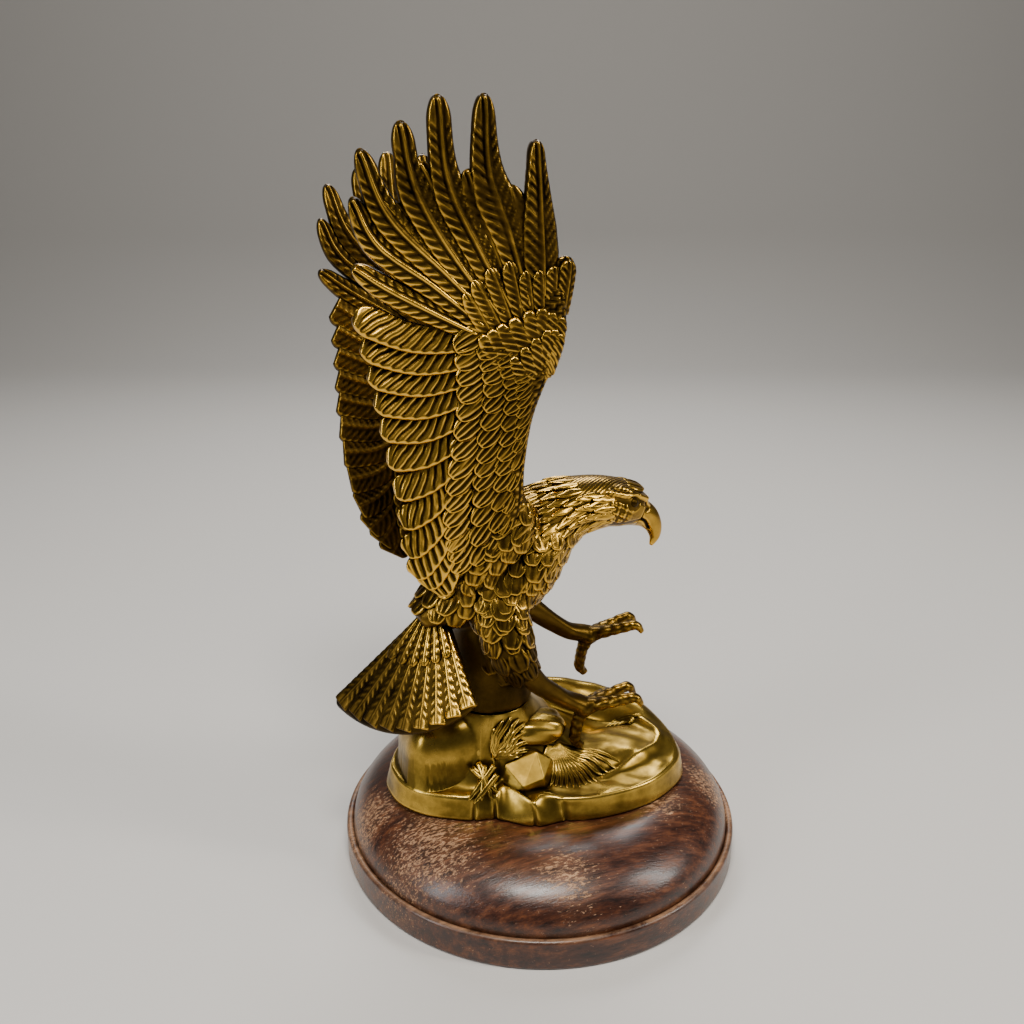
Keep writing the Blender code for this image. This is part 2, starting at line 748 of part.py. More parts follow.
def rock(collection, helpers, material):
    turns, radii = rock_rim()
    pieces = [rock_body(turns, radii)]
    pieces.append(stone(*BOULDER, 9, 14))
    pieces.append(stone(*LEDGE_STONE, 6, 10))
    pieces.append(stone(*FACETED_STONE, 4, 5))
    crest = [(*rock_place(shares), RIM_HALF * ROCK_HEIGHT, RIM_HALF * ROCK_HEIGHT) for shares in RIM]
    pieces.append(tube(crest, 8, 8, side_axis=(0, 0, 1)))
    pieces += grass_blades(turns, radii)
    foot = PLINTH_HEIGHT + GAP
    seat = foot + ROCK_HEIGHT
    meshes = [placed(mesh, Matrix.Translation((0, 0, foot))) for mesh in pieces]
    made = casting("rock_base", meshes, collection, helpers, material, ROCK_VOXEL, ROCK_KEPT_SHARE)
    centre = (SEAT[0] * UNIT, SEAT[1] * UNIT)
    flat_cut(made, "seat_cutter", centre, CUTTER_REACH * UNIT, seat, seat + 2 * CUT_ALLOWANCE, helpers)
    flat_cut(made, "underside_cutter", ROCK_CENTRE, ROCK_LENGTH, foot, foot - 2 * CUT_ALLOWANCE, helpers)


# Plinth


def plinth(collection, material):
    """A turned profile, from the middle of the top down its outer side to the middle of the underside."""
    ledge = PLINTH_RADIUS - BAND_LEDGE
    points = [(0.0, PLINTH_HEIGHT), (PLINTH_FLAT_RADIUS, PLINTH_HEIGHT)]
    for i in range(1, SHOULDER_STEPS + 1):
        turn = 0.5 * math.pi * i / SHOULDER_STEPS
        x = PLINTH_FLAT_RADIUS + (ledge - PLINTH_FLAT_RADIUS) * math.sin(turn)
        z = BAND_HEIGHT + (PLINTH_HEIGHT - BAND_HEIGHT) * math.cos(turn)
        points.append((x, z))
    points += [
        (PLINTH_RADIUS - BAND_ROUNDING, BAND_HEIGHT),
        (PLINTH_RADIUS, BAND_HEIGHT - BAND_ROUNDING),
        (PLINTH_RADIUS, BAND_ROUNDING),
        (PLINTH_RADIUS - BAND_ROUNDING, 0.0),
        (0.0, 0.0),
    ]
    mesh = bpy.data.meshes.new("wooden_plinth")
    edges = [(i, i + 1) for i in range(len(points) - 1)]
    mesh.from_pydata([(x, 0.0, z) for x, z in points], edges, [])
    made = bpy.data.objects.new("wooden_plinth", mesh)
    collection.objects.link(made)
    turned = made.modifiers.new("turned", "SCREW")
    turned.steps = PLINTH_STEPS
    turned.render_steps = PLINTH_STEPS
    turned.use_merge_vertices = True
    turned.merge_threshold = 0.0001
    mesh.materials.append(material)
    return made


def main():
    clear_scene()
    collection = new_collection("eagle_statue")
    helpers = new_collection("helpers", hidden=True)
    antique_brass = principled("antique_brass", (0.36, 0.24, 0.07), 0.42, 1.0)
    polished_brass = principled("polished_brass", (0.55, 0.40, 0.12), 0.28, 1.0)
    stained_wood = principled("stained_wood", (0.16, 0.05, 0.025), 0.40, 0.0)
    eagle(collection, helpers, antique_brass)
    rock(collection, helpers, polished_brass)
    plinth(collection, stained_wood)


main()
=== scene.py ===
"""The looks of the eagle statue: carved brass feathers, a polished rock and a worn wooden plinth.

The eagle's points are in parts in 264 of its height: x and y run from the plinth's axis, and z from
the flat foot of its stump. The rock's points are shares of its length, width and height. Every other
size is in metres.
"""

import math

import bmesh
import bpy
import numpy as np
from mathutils import Matrix, Vector
from mathutils.bvhtree import BVHTree


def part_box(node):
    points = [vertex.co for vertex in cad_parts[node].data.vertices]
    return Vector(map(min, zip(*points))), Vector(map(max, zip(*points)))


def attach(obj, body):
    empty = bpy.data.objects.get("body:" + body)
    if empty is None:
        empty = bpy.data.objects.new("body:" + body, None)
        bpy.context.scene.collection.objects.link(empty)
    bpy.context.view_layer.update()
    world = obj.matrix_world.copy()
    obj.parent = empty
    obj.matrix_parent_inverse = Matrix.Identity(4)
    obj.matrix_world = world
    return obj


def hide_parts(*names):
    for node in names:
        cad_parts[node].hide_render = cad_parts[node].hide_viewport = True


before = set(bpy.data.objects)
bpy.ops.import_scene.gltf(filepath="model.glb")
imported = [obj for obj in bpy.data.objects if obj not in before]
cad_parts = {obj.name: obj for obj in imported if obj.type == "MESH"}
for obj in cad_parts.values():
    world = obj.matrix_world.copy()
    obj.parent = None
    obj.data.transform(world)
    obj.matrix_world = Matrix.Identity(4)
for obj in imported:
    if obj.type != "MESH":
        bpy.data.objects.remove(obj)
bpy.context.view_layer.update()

# Places and sizes that come from the frame

CLEARANCE = 0.0003
ROCK_LOW, ROCK_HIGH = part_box("rock_base")
PLINTH_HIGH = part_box("wooden_plinth")[1]
EAGLE_FOOT = ROCK_HIGH.z + CLEARANCE
UNIT = (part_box("eagle")[1].z - EAGLE_FOOT) / 264
ROCK_LENGTH = ROCK_HIGH.x - ROCK_LOW.x
ROCK_WIDTH = ROCK_HIGH.y - ROCK_LOW.y
ROCK_HEIGHT = ROCK_HIGH.z - ROCK_LOW.z
ROCK_CENTRE = 0.5 * (ROCK_LOW + ROCK_HIGH)


# Short calls for node trees


class Nodes:
    """Adds nodes to a tree, and gives back their outputs."""

    def __init__(self, tree):
        self.tree = tree

    def node(self, kind, inputs=(), **settings):
        made = self.tree.nodes.new(kind)
        for key, value in settings.items():
            setattr(made, key, value)
        pairs = inputs.items() if isinstance(inputs, dict) else enumerate(inputs)
        for key, value in pairs:
            if isinstance(value, bpy.types.NodeSocket):
                self.tree.links.new(value, made.inputs[key])
            elif value is not None:
                made.inputs[key].default_value = value
        return made

    def math(self, operation, *values, clamp=False):
        return self.node("ShaderNodeMath", values, operation=operation, use_clamp=clamp).outputs[0]

    def vector(self, operation, *values):
        return self.node("ShaderNodeVectorMath", values, operation=operation).outputs["Vector"]

    def scaled(self, vector, factor):
        inputs = {"Vector": vector, "Scale": factor}
        return self.node("ShaderNodeVectorMath", inputs, operation="SCALE").outputs["Vector"]

    def steps(self, value, low, high, bottom=0.0, top=1.0):
        """A smooth step from bottom to top while the value goes from low to high."""
        inputs = {"Value": value, "From Min": low, "From Max": high, "To Min": bottom, "To Max": top}
        return self.node("ShaderNodeMapRange", inputs, interpolation_type="SMOOTHSTEP").outputs["Result"]

    def bell(self, value, middle, half):
        """One at the middle, falling to nothing about two halves away."""
        offset = self.math("DIVIDE", self.math("SUBTRACT", value, middle), half)
        return self.math("EXPONENT", self.math("MULTIPLY", self.math("MULTIPLY", offset, offset), -1.0))


# Lofted forms


def smooth_path(points, count):
    """Evenly parted samples of a Catmull-Rom curve through points of any number of values."""
    knots = np.array(points, float)
    knots = np.vstack([2 * knots[0] - knots[1], knots, 2 * knots[-1] - knots[-2]])
    samples = []
    for share in np.linspace(0, len(points) - 1, count):
        i = min(int(share), len(points) - 2)
        t = share - i
        a, b, c, d = knots[i : i + 4]
        samples.append(
            0.5 * (2 * b + (c - a) * t + (2 * a - 5 * b + 4 * c - d) * t**2 + (3 * b - a - 3 * c + d) * t**3)
        )
    return np.array(samples)


def unit_rows(vectors):
    return vectors / np.maximum(np.linalg.norm(vectors, axis=-1, keepdims=True), 1e-12)


def path_axes(samples):
    """Directions along, across and up at every sample of a path, with across as near +Y as can be."""
    along = unit_rows(np.gradient(samples[:, :3], axis=0))
    side = np.array((0.0, 1.0, 0.0))
    across = unit_rows(side - along * (along @ side)[:, None])
    return along, across, np.cross(across, along)


def grid_shape(rings):
    """Points and faces of a closed body through rings of points, capped at both ends."""
    rows, sides = rings.shape[:2]
    faces = []
    for i in range(rows - 1):
        for k in range(sides):
            j = (k + 1) % sides
            faces.append((i * sides + k, i * sides + j, (i + 1) * sides + j, (i + 1) * sides + k))
    faces.append(tuple(range(sides - 1, -1, -1)))
    faces.append(tuple((rows - 1) * sides + k for k in range(sides)))
    return rings.reshape(-1, 3), faces


def tube(stations, count, sides, swell=None):
    """A limb along stations of (x, y, z, half width, half depth); swell(share, turn) scales its radius."""
    samples = smooth_path(stations, count)
    _, across, up = path_axes(samples)
    turns = np.arange(sides) * 2 * math.pi / sides
    size = np.ones((count, sides))
    if swell is not None:
        size = swell(np.linspace(0, 1, count)[:, None], turns[None, :])
    wide = (samples[:, 3:4] * np.cos(turns) * size)[..., None]
    deep = (samples[:, 4:5] * np.sin(turns) * size)[..., None]
    return grid_shape(samples[:, None, :3] + across[:, None] * wide + up[:, None] * deep)


def ball(centre, radii, rings=12, sides=18):
    """An egg-shaped body with rounded ends."""
    turns = np.linspace(0.06, math.pi - 0.06, rings)
    stations = np.array([(centre[0], centre[1], centre[2] + radii[2] * math.cos(t)) for t in turns])
    round_turns = np.arange(sides) * 2 * math.pi / sides
    ring = np.stack([np.cos(round_turns) * radii[0], np.sin(round_turns) * radii[1], 0 * round_turns], axis=1)
    return grid_shape(stations[:, None] + np.sin(turns)[:, None, None] * ring[None])


def joined(shapes):
    points = []
    faces = []
    for shape_points, shape_faces in shapes:
        start = sum(len(p) for p in points)
        points.append(shape_points)
        faces += [tuple(start + i for i in face) for face in shape_faces]
    return np.vstack(points), faces


def moved(shape, matrix):
    points, faces = shape
    turned = np.array(matrix, float)
    out = points @ turned[:3, :3].T + turned[:3, 3]
    if np.linalg.det(turned[:3, :3]) < 0:
        faces = [tuple(reversed(face)) for face in faces]
    return out, faces


def to_metres(points):
    """Places points in the eagle's units in the frame."""
    return np.array(points, float) * UNIT + np.array((0, 0, EAGLE_FOOT))


def mesh_of(name, shape, scaled=True):
    points, faces = shape
    mesh = bpy.data.meshes.new(name)
    mesh.from_pydata(to_metres(points) if scaled else points, [], faces)
    bm = bmesh.new()
    bm.from_mesh(mesh)
    bmesh.ops.recalc_face_normals(bm, faces=bm.faces[:])
    for face in bm.faces:
        face.smooth = True
    bm.to_mesh(mesh)
    bm.free()
    return mesh


def linked(name, data):
    """A new object of the scene."""
    obj = bpy.data.objects.new(name, data)
    bpy.context.scene.collection.objects.link(obj)
    return obj


def evaluated(obj):
    """The object's mesh after its modifiers; the object goes."""
    bpy.context.view_layer.update()
    graph = bpy.context.evaluated_depsgraph_get()
    mesh = bpy.data.meshes.new_from_object(obj.evaluated_get(graph))
    bpy.data.objects.remove(obj, do_unlink=True)
    return mesh


def fused(name, shape, voxel, smoothing):
    """One skin round overlapping bodies, with its joints softened."""
    obj = linked(name, mesh_of(name, shape))
    skin = obj.modifiers.new("skin", "REMESH")
    skin.mode = "VOXEL"
    skin.voxel_size = voxel
    soft = obj.modifiers.new("soft", "SMOOTH")
    soft.factor = 0.5
    soft.iterations = smoothing
    made = evaluated(obj)
    made.shade_smooth()
    return made


def point_values(mesh, key):
    """The place (co) or the normal of every point of a mesh."""
    flat = np.empty(len(mesh.vertices) * 3, np.float32)
    mesh.vertices.foreach_get(key, flat)
    return flat.reshape(-1, 3).astype(float)


def eagle_places(mesh):
    """Where the points of a mesh lie, in the eagle's units."""
    return (point_values(mesh, "co") - np.array((0, 0, EAGLE_FOOT))) / UNIT


def displace(mesh, amount):
    """Moves every point along its normal by its own amount."""
    points = point_values(mesh, "co") + point_values(mesh, "normal") * amount[:, None]
    mesh.vertices.foreach_set("co", points.astype(np.float32).ravel())
    mesh.update()


def keep_values(mesh, key, values):
    """Keeps a number at every point of a mesh: one each, or the same at all of them."""
    layer = mesh.attributes.get(key) or mesh.attributes.new(key, "FLOAT", "POINT")
    layer.data.foreach_set("value", np.full(len(mesh.vertices), values, np.float32))


def set_carving(mesh, values):
    """How clear of dark patina each point is: nothing in a groove, one on a raised face."""
    keep_values(mesh, "carving", values)


# Feathers: one geometry node tree carves them all, along lines that the layouts below give

FEATHER_SIZES = (
    ("Steps Along", "NodeSocketInt", 40),
    ("Steps Around", "NodeSocketInt", 25),
    ("Lip", "NodeSocketFloat", 0.3),
    ("Shaft Place", "NodeSocketFloat", 0.0),
    ("Shaft Half", "NodeSocketFloat", 0.0006),
    ("Shaft Height", "NodeSocketFloat", 0.0003),
    ("Barb Pitch", "NodeSocketFloat", 0.004),
    ("Barb Slope", "NodeSocketFloat", 1.0),
    ("Barb Depth", "NodeSocketFloat", 0.0005),
    ("Barb Low", "NodeSocketFloat", -0.85),
    ("Barb High", "NodeSocketFloat", 0.85),
    ("Barb End", "NodeSocketFloat", 0.95),
    ("Ribs", "NodeSocketFloat", 0.0),
    ("Tip Start", "NodeSocketFloat", 0.55),
    ("Tip Blunt", "NodeSocketFloat", 0.0),
    ("Unevenness", "NodeSocketFloat", 0.0001),
    ("Root Depth", "NodeSocketFloat", 1.0),
)


def feather_tree():
    """Turns every line of the mesh into one closed, carved feather.

    The line gives the feather's middle, its attribute outward the way its face looks, and sizes its
    half width, half depth and length.
    """
    tree = bpy.data.node_groups.new("carved_feathers", "GeometryNodeTree")
    tree.interface.new_socket("Geometry", in_out="INPUT", socket_type="NodeSocketGeometry")
    for name, kind, default in FEATHER_SIZES:
        tree.interface.new_socket(name, in_out="INPUT", socket_type=kind).default_value = default
    tree.interface.new_socket("Material", in_out="INPUT", socket_type="NodeSocketMaterial")
    tree.interface.new_socket("Geometry", in_out="OUTPUT", socket_type="NodeSocketGeometry")
    n = Nodes(tree)
    given = n.node("NodeGroupInput").outputs
    lines = n.node("GeometryNodeMeshToCurve", {"Mesh": given["Geometry"]}).outputs["Curve"]
    numbers = n.node("GeometryNodeAttributeDomainSize", {"Geometry": lines}, component="CURVE").outputs
    grid = {"Size X": 1.0, "Size Y": 1.0}
    grid["Vertices X"] = given["Steps Along"]
    grid["Vertices Y"] = given["Steps Around"]
    sheet = n.node("GeometryNodeMeshGrid", grid).outputs["Mesh"]
    points = n.node("GeometryNodePoints", {"Count": numbers["Spline Count"]}).outputs[0]
    sheets = n.node("GeometryNodeInstanceOnPoints", {"Points": points, "Instance": sheet}).outputs[0]
    sheets = n.node("GeometryNodeRealizeInstances", {"Geometry": sheets}).outputs["Geometry"]

    # Each sheet is wrapped round one line: share runs from root to tip, and side from edge to edge
    index = n.node("GeometryNodeInputIndex").outputs[0]
    per_sheet = n.math("MULTIPLY", given["Steps Along"], given["Steps Around"])
    feather = n.math("FLOOR", n.math("DIVIDE", n.math("ADD", index, 0.5), per_sheet))
    place = n.node("ShaderNodeSeparateXYZ", (n.node("GeometryNodeInputPosition").outputs[0],)).outputs
    left_over = n.math("SUBTRACT", 0.5, place["X"])
    share = n.math("SUBTRACT", 1.0, n.math("POWER", n.math("MAXIMUM", left_over, 0.0), 1.3))
    turn = n.math("MULTIPLY", place["Y"], 4.0)
    side = n.math("SUBTRACT", 1.0, n.math("ABSOLUTE", turn))
    face = n.math("SIGN", n.math("MULTIPLY", turn, -1.0))

    on_line = {"Curves": lines, "Factor": share, "Curve Index": feather}

    def sampled(attribute):
        value = n.node("GeometryNodeInputNamedAttribute", {"Name": attribute}, data_type="FLOAT_VECTOR")
        inputs = {**on_line, "Value": value.outputs["Attribute"]}
        return n.node("GeometryNodeSampleCurve", inputs, data_type="FLOAT_VECTOR", mode="FACTOR").outputs

    facing = sampled("outward")
    sizes = n.node("ShaderNodeSeparateXYZ", (sampled("sizes")["Value"],)).outputs
    outward = n.vector("NORMALIZE", facing["Value"])
    across = n.vector("NORMALIZE", n.vector("CROSS_PRODUCT", outward, facing["Tangent"]))

    # Outline: full width up to the start of the tip, which is round or blunt
    past = n.math("SUBTRACT", share, given["Tip Start"])
    past = n.math("DIVIDE", n.math("MAXIMUM", past, 0.0), n.math("SUBTRACT", 1.0, given["Tip Start"]))
    kept = n.math("SUBTRACT", 1.0, n.math("MULTIPLY", given["Tip Blunt"], given["Tip Blunt"]))
    end = n.math("SUBTRACT", 1.0, n.math("MULTIPLY", n.math("MULTIPLY", past, past), kept))
    end = n.math("SQRT", n.math("MAXIMUM", end, 0.0))
    half = n.math("MULTIPLY", sizes["X"], end)
    out = n.math("MULTIPLY", side, half)

    # Vane: flat with rounded edges, and thicker towards the edge that lies over the next feather
    from_middle = n.math("ABSOLUTE", side)
    crown = n.math("SQRT", n.math("SUBTRACT", 1.0, n.math("POWER", n.math("MINIMUM", from_middle, 1.0), 6.0)))
    tilt = n.math("MULTIPLY_ADD", given["Lip"], side, 1.0)
    ends = n.math("MULTIPLY", n.steps(share, 0.0, 0.05), n.steps(share, 1.0, 0.985))
    rise = n.math("MULTIPLY_ADD", n.math("SUBTRACT", 1.0, given["Root Depth"]), share, given["Root Depth"])
    thin = n.math("MULTIPLY", n.math("MULTIPLY", ends, rise), n.math("MULTIPLY_ADD", end, 0.35, 0.65))
    thick = n.math("MULTIPLY", n.math("MULTIPLY", sizes["Y"], tilt), n.math("MULTIPLY", crown, thin))

    # Shaft: a ridge between two grooves
    from_shaft = n.math("MULTIPLY", n.math("SUBTRACT", side, given["Shaft Place"]), half)
    from_shaft = n.math("ABSOLUTE", from_shaft)
    ridge = n.bell(from_shaft, 0.0, given["Shaft Half"])
    groove_place = n.math("MULTIPLY", given["Shaft Half"], 2.1)
    shaft_groove = n.bell(from_shaft, groove_place, n.math("MULTIPLY", given["Shaft Half"], 0.75))

    # Barbs: grooves that run out and forward from the shaft, or ribs that fan from the root
    spot = n.node("GeometryNodeSampleCurve", on_line).outputs
    uneven = n.node(
        "ShaderNodeTexNoise",
        {"Vector": n.vector("ADD", spot["Position"], n.scaled(across, out)), "Scale": 140.0, "Detail": 1.0},
    ).outputs[0]
    ahead = n.math("MULTIPLY", share, sizes["Z"])
    back = n.math("MULTIPLY", from_shaft, given["Barb Slope"])
    phase = n.math("DIVIDE", n.math("SUBTRACT", ahead, back), given["Barb Pitch"])
    phase = n.math("MULTIPLY_ADD", given["Ribs"], side, phase)
    phase = n.math("MULTIPLY_ADD", uneven, 0.55, phase)
    phase = n.math("MULTIPLY_ADD", feather, 0.37, phase)
    wave = n.math("ABSOLUTE", n.math("SINE", n.math("MULTIPLY", phase, math.pi)))
    groove = n.math("SUBTRACT", 1.0, n.math("POWER", wave, 0.55))
    clear = n.math("MULTIPLY", given["Shaft Half"], 2.0)
    mask = n.steps(from_shaft, clear, n.math("ADD", clear, 0.0010))
    low = n.steps(side, n.math("SUBTRACT", given["Barb Low"], 0.12), n.math("ADD", given["Barb Low"], 0.08))
    high_end = n.math("SUBTRACT", given["Barb High"], 0.08)
    high = n.steps(side, n.math("ADD", given["Barb High"], 0.12), high_end)
    mask = n.math("MULTIPLY", mask, n.math("MULTIPLY", low, high))
    barb_end = n.steps(share, given["Barb End"], n.math("SUBTRACT", given["Barb End"], 0.07))
    mask = n.math("MULTIPLY", mask, n.math("MULTIPLY", n.steps(share, 0.02, 0.12), barb_end))
    groove = n.math("MULTIPLY", groove, mask)

    carved = n.math("MULTIPLY", groove, given["Barb Depth"])
    height = n.math("SUBTRACT", thick, n.math("MULTIPLY", carved, ends))
    shaft = n.math("SUBTRACT", ridge, n.math("MULTIPLY", shaft_groove, 0.9))
    shaft = n.math("MULTIPLY", shaft, given["Shaft Height"])
    shaft = n.math("MULTIPLY", shaft, n.math("MULTIPLY", ends, crown))
    height = n.math("ADD", height, shaft)
    rough = n.math("MULTIPLY", n.math("SUBTRACT", uneven, 0.5), given["Unevenness"])
    rough = n.math("MULTIPLY", rough, crown)
    height = n.math("ADD", height, rough)
    spread = n.vector("ADD", n.scaled(across, out), n.scaled(outward, n.math("MULTIPLY", height, face)))
    position = n.vector("ADD", spot["Position"], spread)

    clean = n.math("SUBTRACT", 1.0, n.math("MULTIPLY", groove, 0.9))
    clean = n.math("SUBTRACT", clean, n.math("MULTIPLY", shaft_groove, 0.6))
    clean = n.math("MULTIPLY", clean, n.steps(from_middle, 1.0, 0.9, 0.35, 1.0), clamp=True)
    stored = n.node(
        "GeometryNodeStoreNamedAttribute",
        {"Geometry": sheets, "Name": "carving", "Value": clean},
        data_type="FLOAT",
        domain="POINT",
    ).outputs["Geometry"]
    shaped = n.node("GeometryNodeSetPosition", {"Geometry": stored, "Position": position}).outputs["Geometry"]
    shaped = n.node("GeometryNodeMergeByDistance", {"Geometry": shaped, "Distance": 0.00002}).outputs[0]
    shaped = n.node("GeometryNodeSetShadeSmooth", {"Geometry": shaped}).outputs["Geometry"]
    shaped = n.node("GeometryNodeRealizeInstances", {"Geometry": shaped}).outputs["Geometry"]
    shaped = n.node("GeometryNodeSetMaterial", {"Geometry": shaped, "Material": given["Material"]}).outputs[0]
    n.node("NodeGroupOutput", {"Geometry": shaped})
    return tree


FEATHERS = feather_tree()


def feather(points, outward, halves, depth):
    """One feather's line in the eagle's units: points, the ways its face looks, half widths, half depth."""
    points = np.array(points, float)
    outward = np.broadcast_to(np.array(outward, float), points.shape)
    halves = np.broadcast_to(np.array(halves, float), (len(points),))
    return points, outward, halves, depth


def carve(name, feathers, material, **sizes):
    """The mesh of all these feathers, carved by the tree with the sizes that are named."""
    points = []
    edges = []
    outward = []
    measures = []
    for line, faces, halves, depth in feathers:
        start = len(points)
        points += list(to_metres(line))
        edges += [(start + i, start + i + 1) for i in range(len(line) - 1)]
        outward += list(faces)
        length = float(np.linalg.norm(np.diff(line, axis=0), axis=1).sum())
        measures += [(half * UNIT, depth * UNIT, length * UNIT) for half in halves]
    mesh = bpy.data.meshes.new(name)
    mesh.from_pydata(points, edges, [])
    for key, values in (("outward", outward), ("sizes", measures)):
        layer = mesh.attributes.new(key, "FLOAT_VECTOR", "POINT")
        layer.data.foreach_set("vector", np.array(values, np.float32).ravel())
    obj = linked(name, mesh)
    modifier = obj.modifiers.new("carved", "NODES")
    modifier.node_group = FEATHERS
    for item in FEATHERS.interface.items_tree:
        if item.in_out == "INPUT" and item.name in sizes:
            modifier[item.identifier] = sizes[item.name]
        elif item.in_out == "INPUT" and item.name == "Material":
            modifier[item.identifier] = material
    return evaluated(obj)


# Materials


def material_tree(name, colour, roughness, metallic):
    made = bpy.data.materials.new(name)
    made.use_nodes = True
    n = Nodes(made.node_tree)
    shader = made.node_tree.nodes["Principled BSDF"]
    shader.inputs["Base Color"].default_value = (*colour, 1.0)
    shader.inputs["Roughness"].default_value = roughness
    shader.inputs["Metallic"].default_value = metallic
    return made, n, shader


def noise(n, coordinates, scale, detail=4.0, roughness=0.55):
    inputs = {"Vector": coordinates, "Scale": scale, "Detail": detail, "Roughness": roughness}
    return n.node("ShaderNodeTexNoise", inputs).outputs[0]


def ramp(n, factor, stops):
    made = n.node("ShaderNodeValToRGB", (factor,))
    elements = made.color_ramp.elements
    while len(elements) < len(stops):
        elements.new(0.5)
    for element, (place, colour) in zip(elements, stops):
        element.position = place
        element.color = (*colour, 1.0)
    return made.outputs["Color"]


def roughen(n, shader, height, strength, distance):
    """A bump in the material, for grain finer than the meshes."""
    inputs = {"Strength": strength, "Distance": distance, "Height": height}
    n.tree.links.new(n.node("ShaderNodeBump", inputs).outputs["Normal"], shader.inputs["Normal"])


def brass(name, dark, mid, bright, recess, gloss, reach, patina):
    """Cast brass: dark where patina lies in grooves and between feathers, darkened further by painted shade
    where parts crowd close and on pieces painted as shaded; bright where it is rubbed and where a painted
    highlight is laid on.
    """
    made, n, shader = material_tree(name, mid, 0.35, 1.0)
    here = n.node("ShaderNodeTexCoord").outputs["Object"]
    carving = n.node("ShaderNodeAttribute", attribute_name="carving").outputs["Fac"]
    wear_and_painted_light = n.node("ShaderNodeAttribute", attribute_name="wear_and_painted_light").outputs["Fac"]
    # Ambient occlusion darkens the colour where parts crowd close: patina in the hollows, and painted shade
    # under the legs, round the stump and between overlapping feathers
    open_sky = n.node("ShaderNodeAmbientOcclusion", {"Distance": reach}, samples=8).outputs["AO"]
    open_sky = n.steps(open_sky, 0.35, 0.95)
    edges = n.node("ShaderNodeNewGeometry").outputs["Pointiness"]
    edges = n.steps(edges, 0.47, 0.56)
    stain = noise(n, here, 110.0, 6.0, 0.65)
    clouds = noise(n, here, 26.0, 3.0)
    # clear is how free of patina a point is, lowered also by the painted shade of the occlusion and by the
    # painted light and shade in the wear value
    clear = n.math("MULTIPLY", carving, open_sky)
    clear = n.math("MULTIPLY", clear, n.math("MULTIPLY_ADD", edges, 0.75, 0.40))
    clear = n.math("MULTIPLY", clear, wear_and_painted_light)
    mottle = n.math("ADD", n.math("MULTIPLY", stain, patina), n.math("MULTIPLY", clouds, 0.7 * patina))
    # rubbed carries real rubbing and patina together with the painted light and painted shade above
    rubbed = n.math("ADD", clear, n.math("SUBTRACT", mottle, 0.85 * patina), clamp=True)
    colour = ramp(n, rubbed, ((0.05, dark), (0.45, mid), (0.95, bright)))
    n.tree.links.new(colour, shader.inputs["Base Color"])
    n.tree.links.new(n.steps(rubbed, 0.0, 0.8, recess, gloss), shader.inputs["Roughness"])
    grain = noise(n, here, 900.0, 2.0)
    lumps = noise(n, here, 240.0, 3.0)
    height = n.math("ADD", n.math("MULTIPLY", grain, 0.3), n.math("MULTIPLY", lumps, 0.8))
    roughen(n, shader, height, 0.22, 0.0002)
    return made


# Places where the plinth is rubbed bare, as (x, y, half width)
WORN_PLACES = (
    (-0.066, -0.039, 0.024),
    (-0.014, -0.076, 0.015),
    (0.044, -0.044, 0.013),
    (0.083, -0.032, 0.017),
    (-0.089, -0.002, 0.018),
    (0.030, 0.075, 0.020),
)


def stained_wood():
    """Dark red-brown stain with fine streaks along the grain, rubbed to pale flecks in places."""
    made, n, shader = material_tree("stained_wood", (0.06, 0.018, 0.008), 0.38, 0.0)
    here = n.node("ShaderNodeTexCoord").outputs["Object"]

    def stretched(turn, scale):
        inputs = {"Vector": here, "Rotation": (0, 0, turn), "Scale": scale}
        return n.node("ShaderNodeMapping", inputs).outputs[0]

    grain = stretched(0.3, (1.0, 6.0, 4.0))
    short = stretched(0.45, (1.0, 3.2, 2.4))
    streaks = noise(n, grain, 60.0, 8.0, 0.68)
    pores = noise(n, grain, 260.0, 3.0, 0.6)
    tone = n.math("ADD", n.math("MULTIPLY", streaks, 0.8), n.math("MULTIPLY", pores, 0.2))
    stained = ramp(
        n, tone, ((0.36, (0.009, 0.003, 0.002)), (0.5, (0.048, 0.013, 0.005)), (0.66, (0.150, 0.046, 0.013)))
    )
    place = n.node("ShaderNodeSeparateXYZ", (here,)).outputs
    radius = n.math("SQRT", n.math("ADD", n.math("POWER", place["X"], 2.0), n.math("POWER", place["Y"], 2.0)))
    zone = 0.0
    for x, y, half in WORN_PLACES:
        away_x = n.math("POWER", n.math("SUBTRACT", place["X"], x), 2.0)
        away_y = n.math("POWER", n.math("SUBTRACT", place["Y"], y), 2.0)
        spot = n.bell(n.math("SQRT", n.math("ADD", away_x, away_y)), 0.0, half)
        zone = n.math("MAXIMUM", zone, spot)
    zone = n.steps(n.math("MULTIPLY_ADD", noise(n, here, 24.0, 4.0, 0.6), 0.9, zone), 0.55, 1.35)
    fleck = noise(n, short, 330.0, 4.0, 0.75)
    bare = n.steps(n.math("MULTIPLY_ADD", zone, 0.15, fleck), 0.645, 0.70)
    bead = n.math("MULTIPLY", n.bell(radius, 0.0952, 0.0013), n.bell(place["Z"], 0.0150, 0.0016))
    bead = n.math("MULTIPLY", bead, n.steps(noise(n, here, 90.0, 5.0, 0.7), 0.30, 0.55))
    bare = n.math("MAXIMUM", bare, n.math("MULTIPLY", zone, 0.08))
    bare = n.math("MAXIMUM", bare, n.math("MULTIPLY", bead, 0.6))
    pale = ramp(n, streaks, ((0.3, (0.22, 0.105, 0.048)), (0.7, (0.52, 0.30, 0.155))))
    mixed = n.node("ShaderNodeMix", {"Factor": bare}, data_type="RGBA", blend_type="MIX")
    n.tree.links.new(stained, mixed.inputs[6])
    n.tree.links.new(pale, mixed.inputs[7])
    n.tree.links.new(mixed.outputs[2], shader.inputs["Base Color"])
    n.tree.links.new(n.steps(n.math("ADD", bare, streaks), 0.3, 1.2, 0.28, 0.62), shader.inputs["Roughness"])
    shader.inputs["Coat Weight"].default_value = 0.3
    shader.inputs["Coat Roughness"].default_value = 0.22
    height = n.math("SUBTRACT", n.math("MULTIPLY", pores, 0.6), n.math("MULTIPLY", bare, 0.35))
    roughen(n, shader, height, 0.5, 0.0004)
    return made
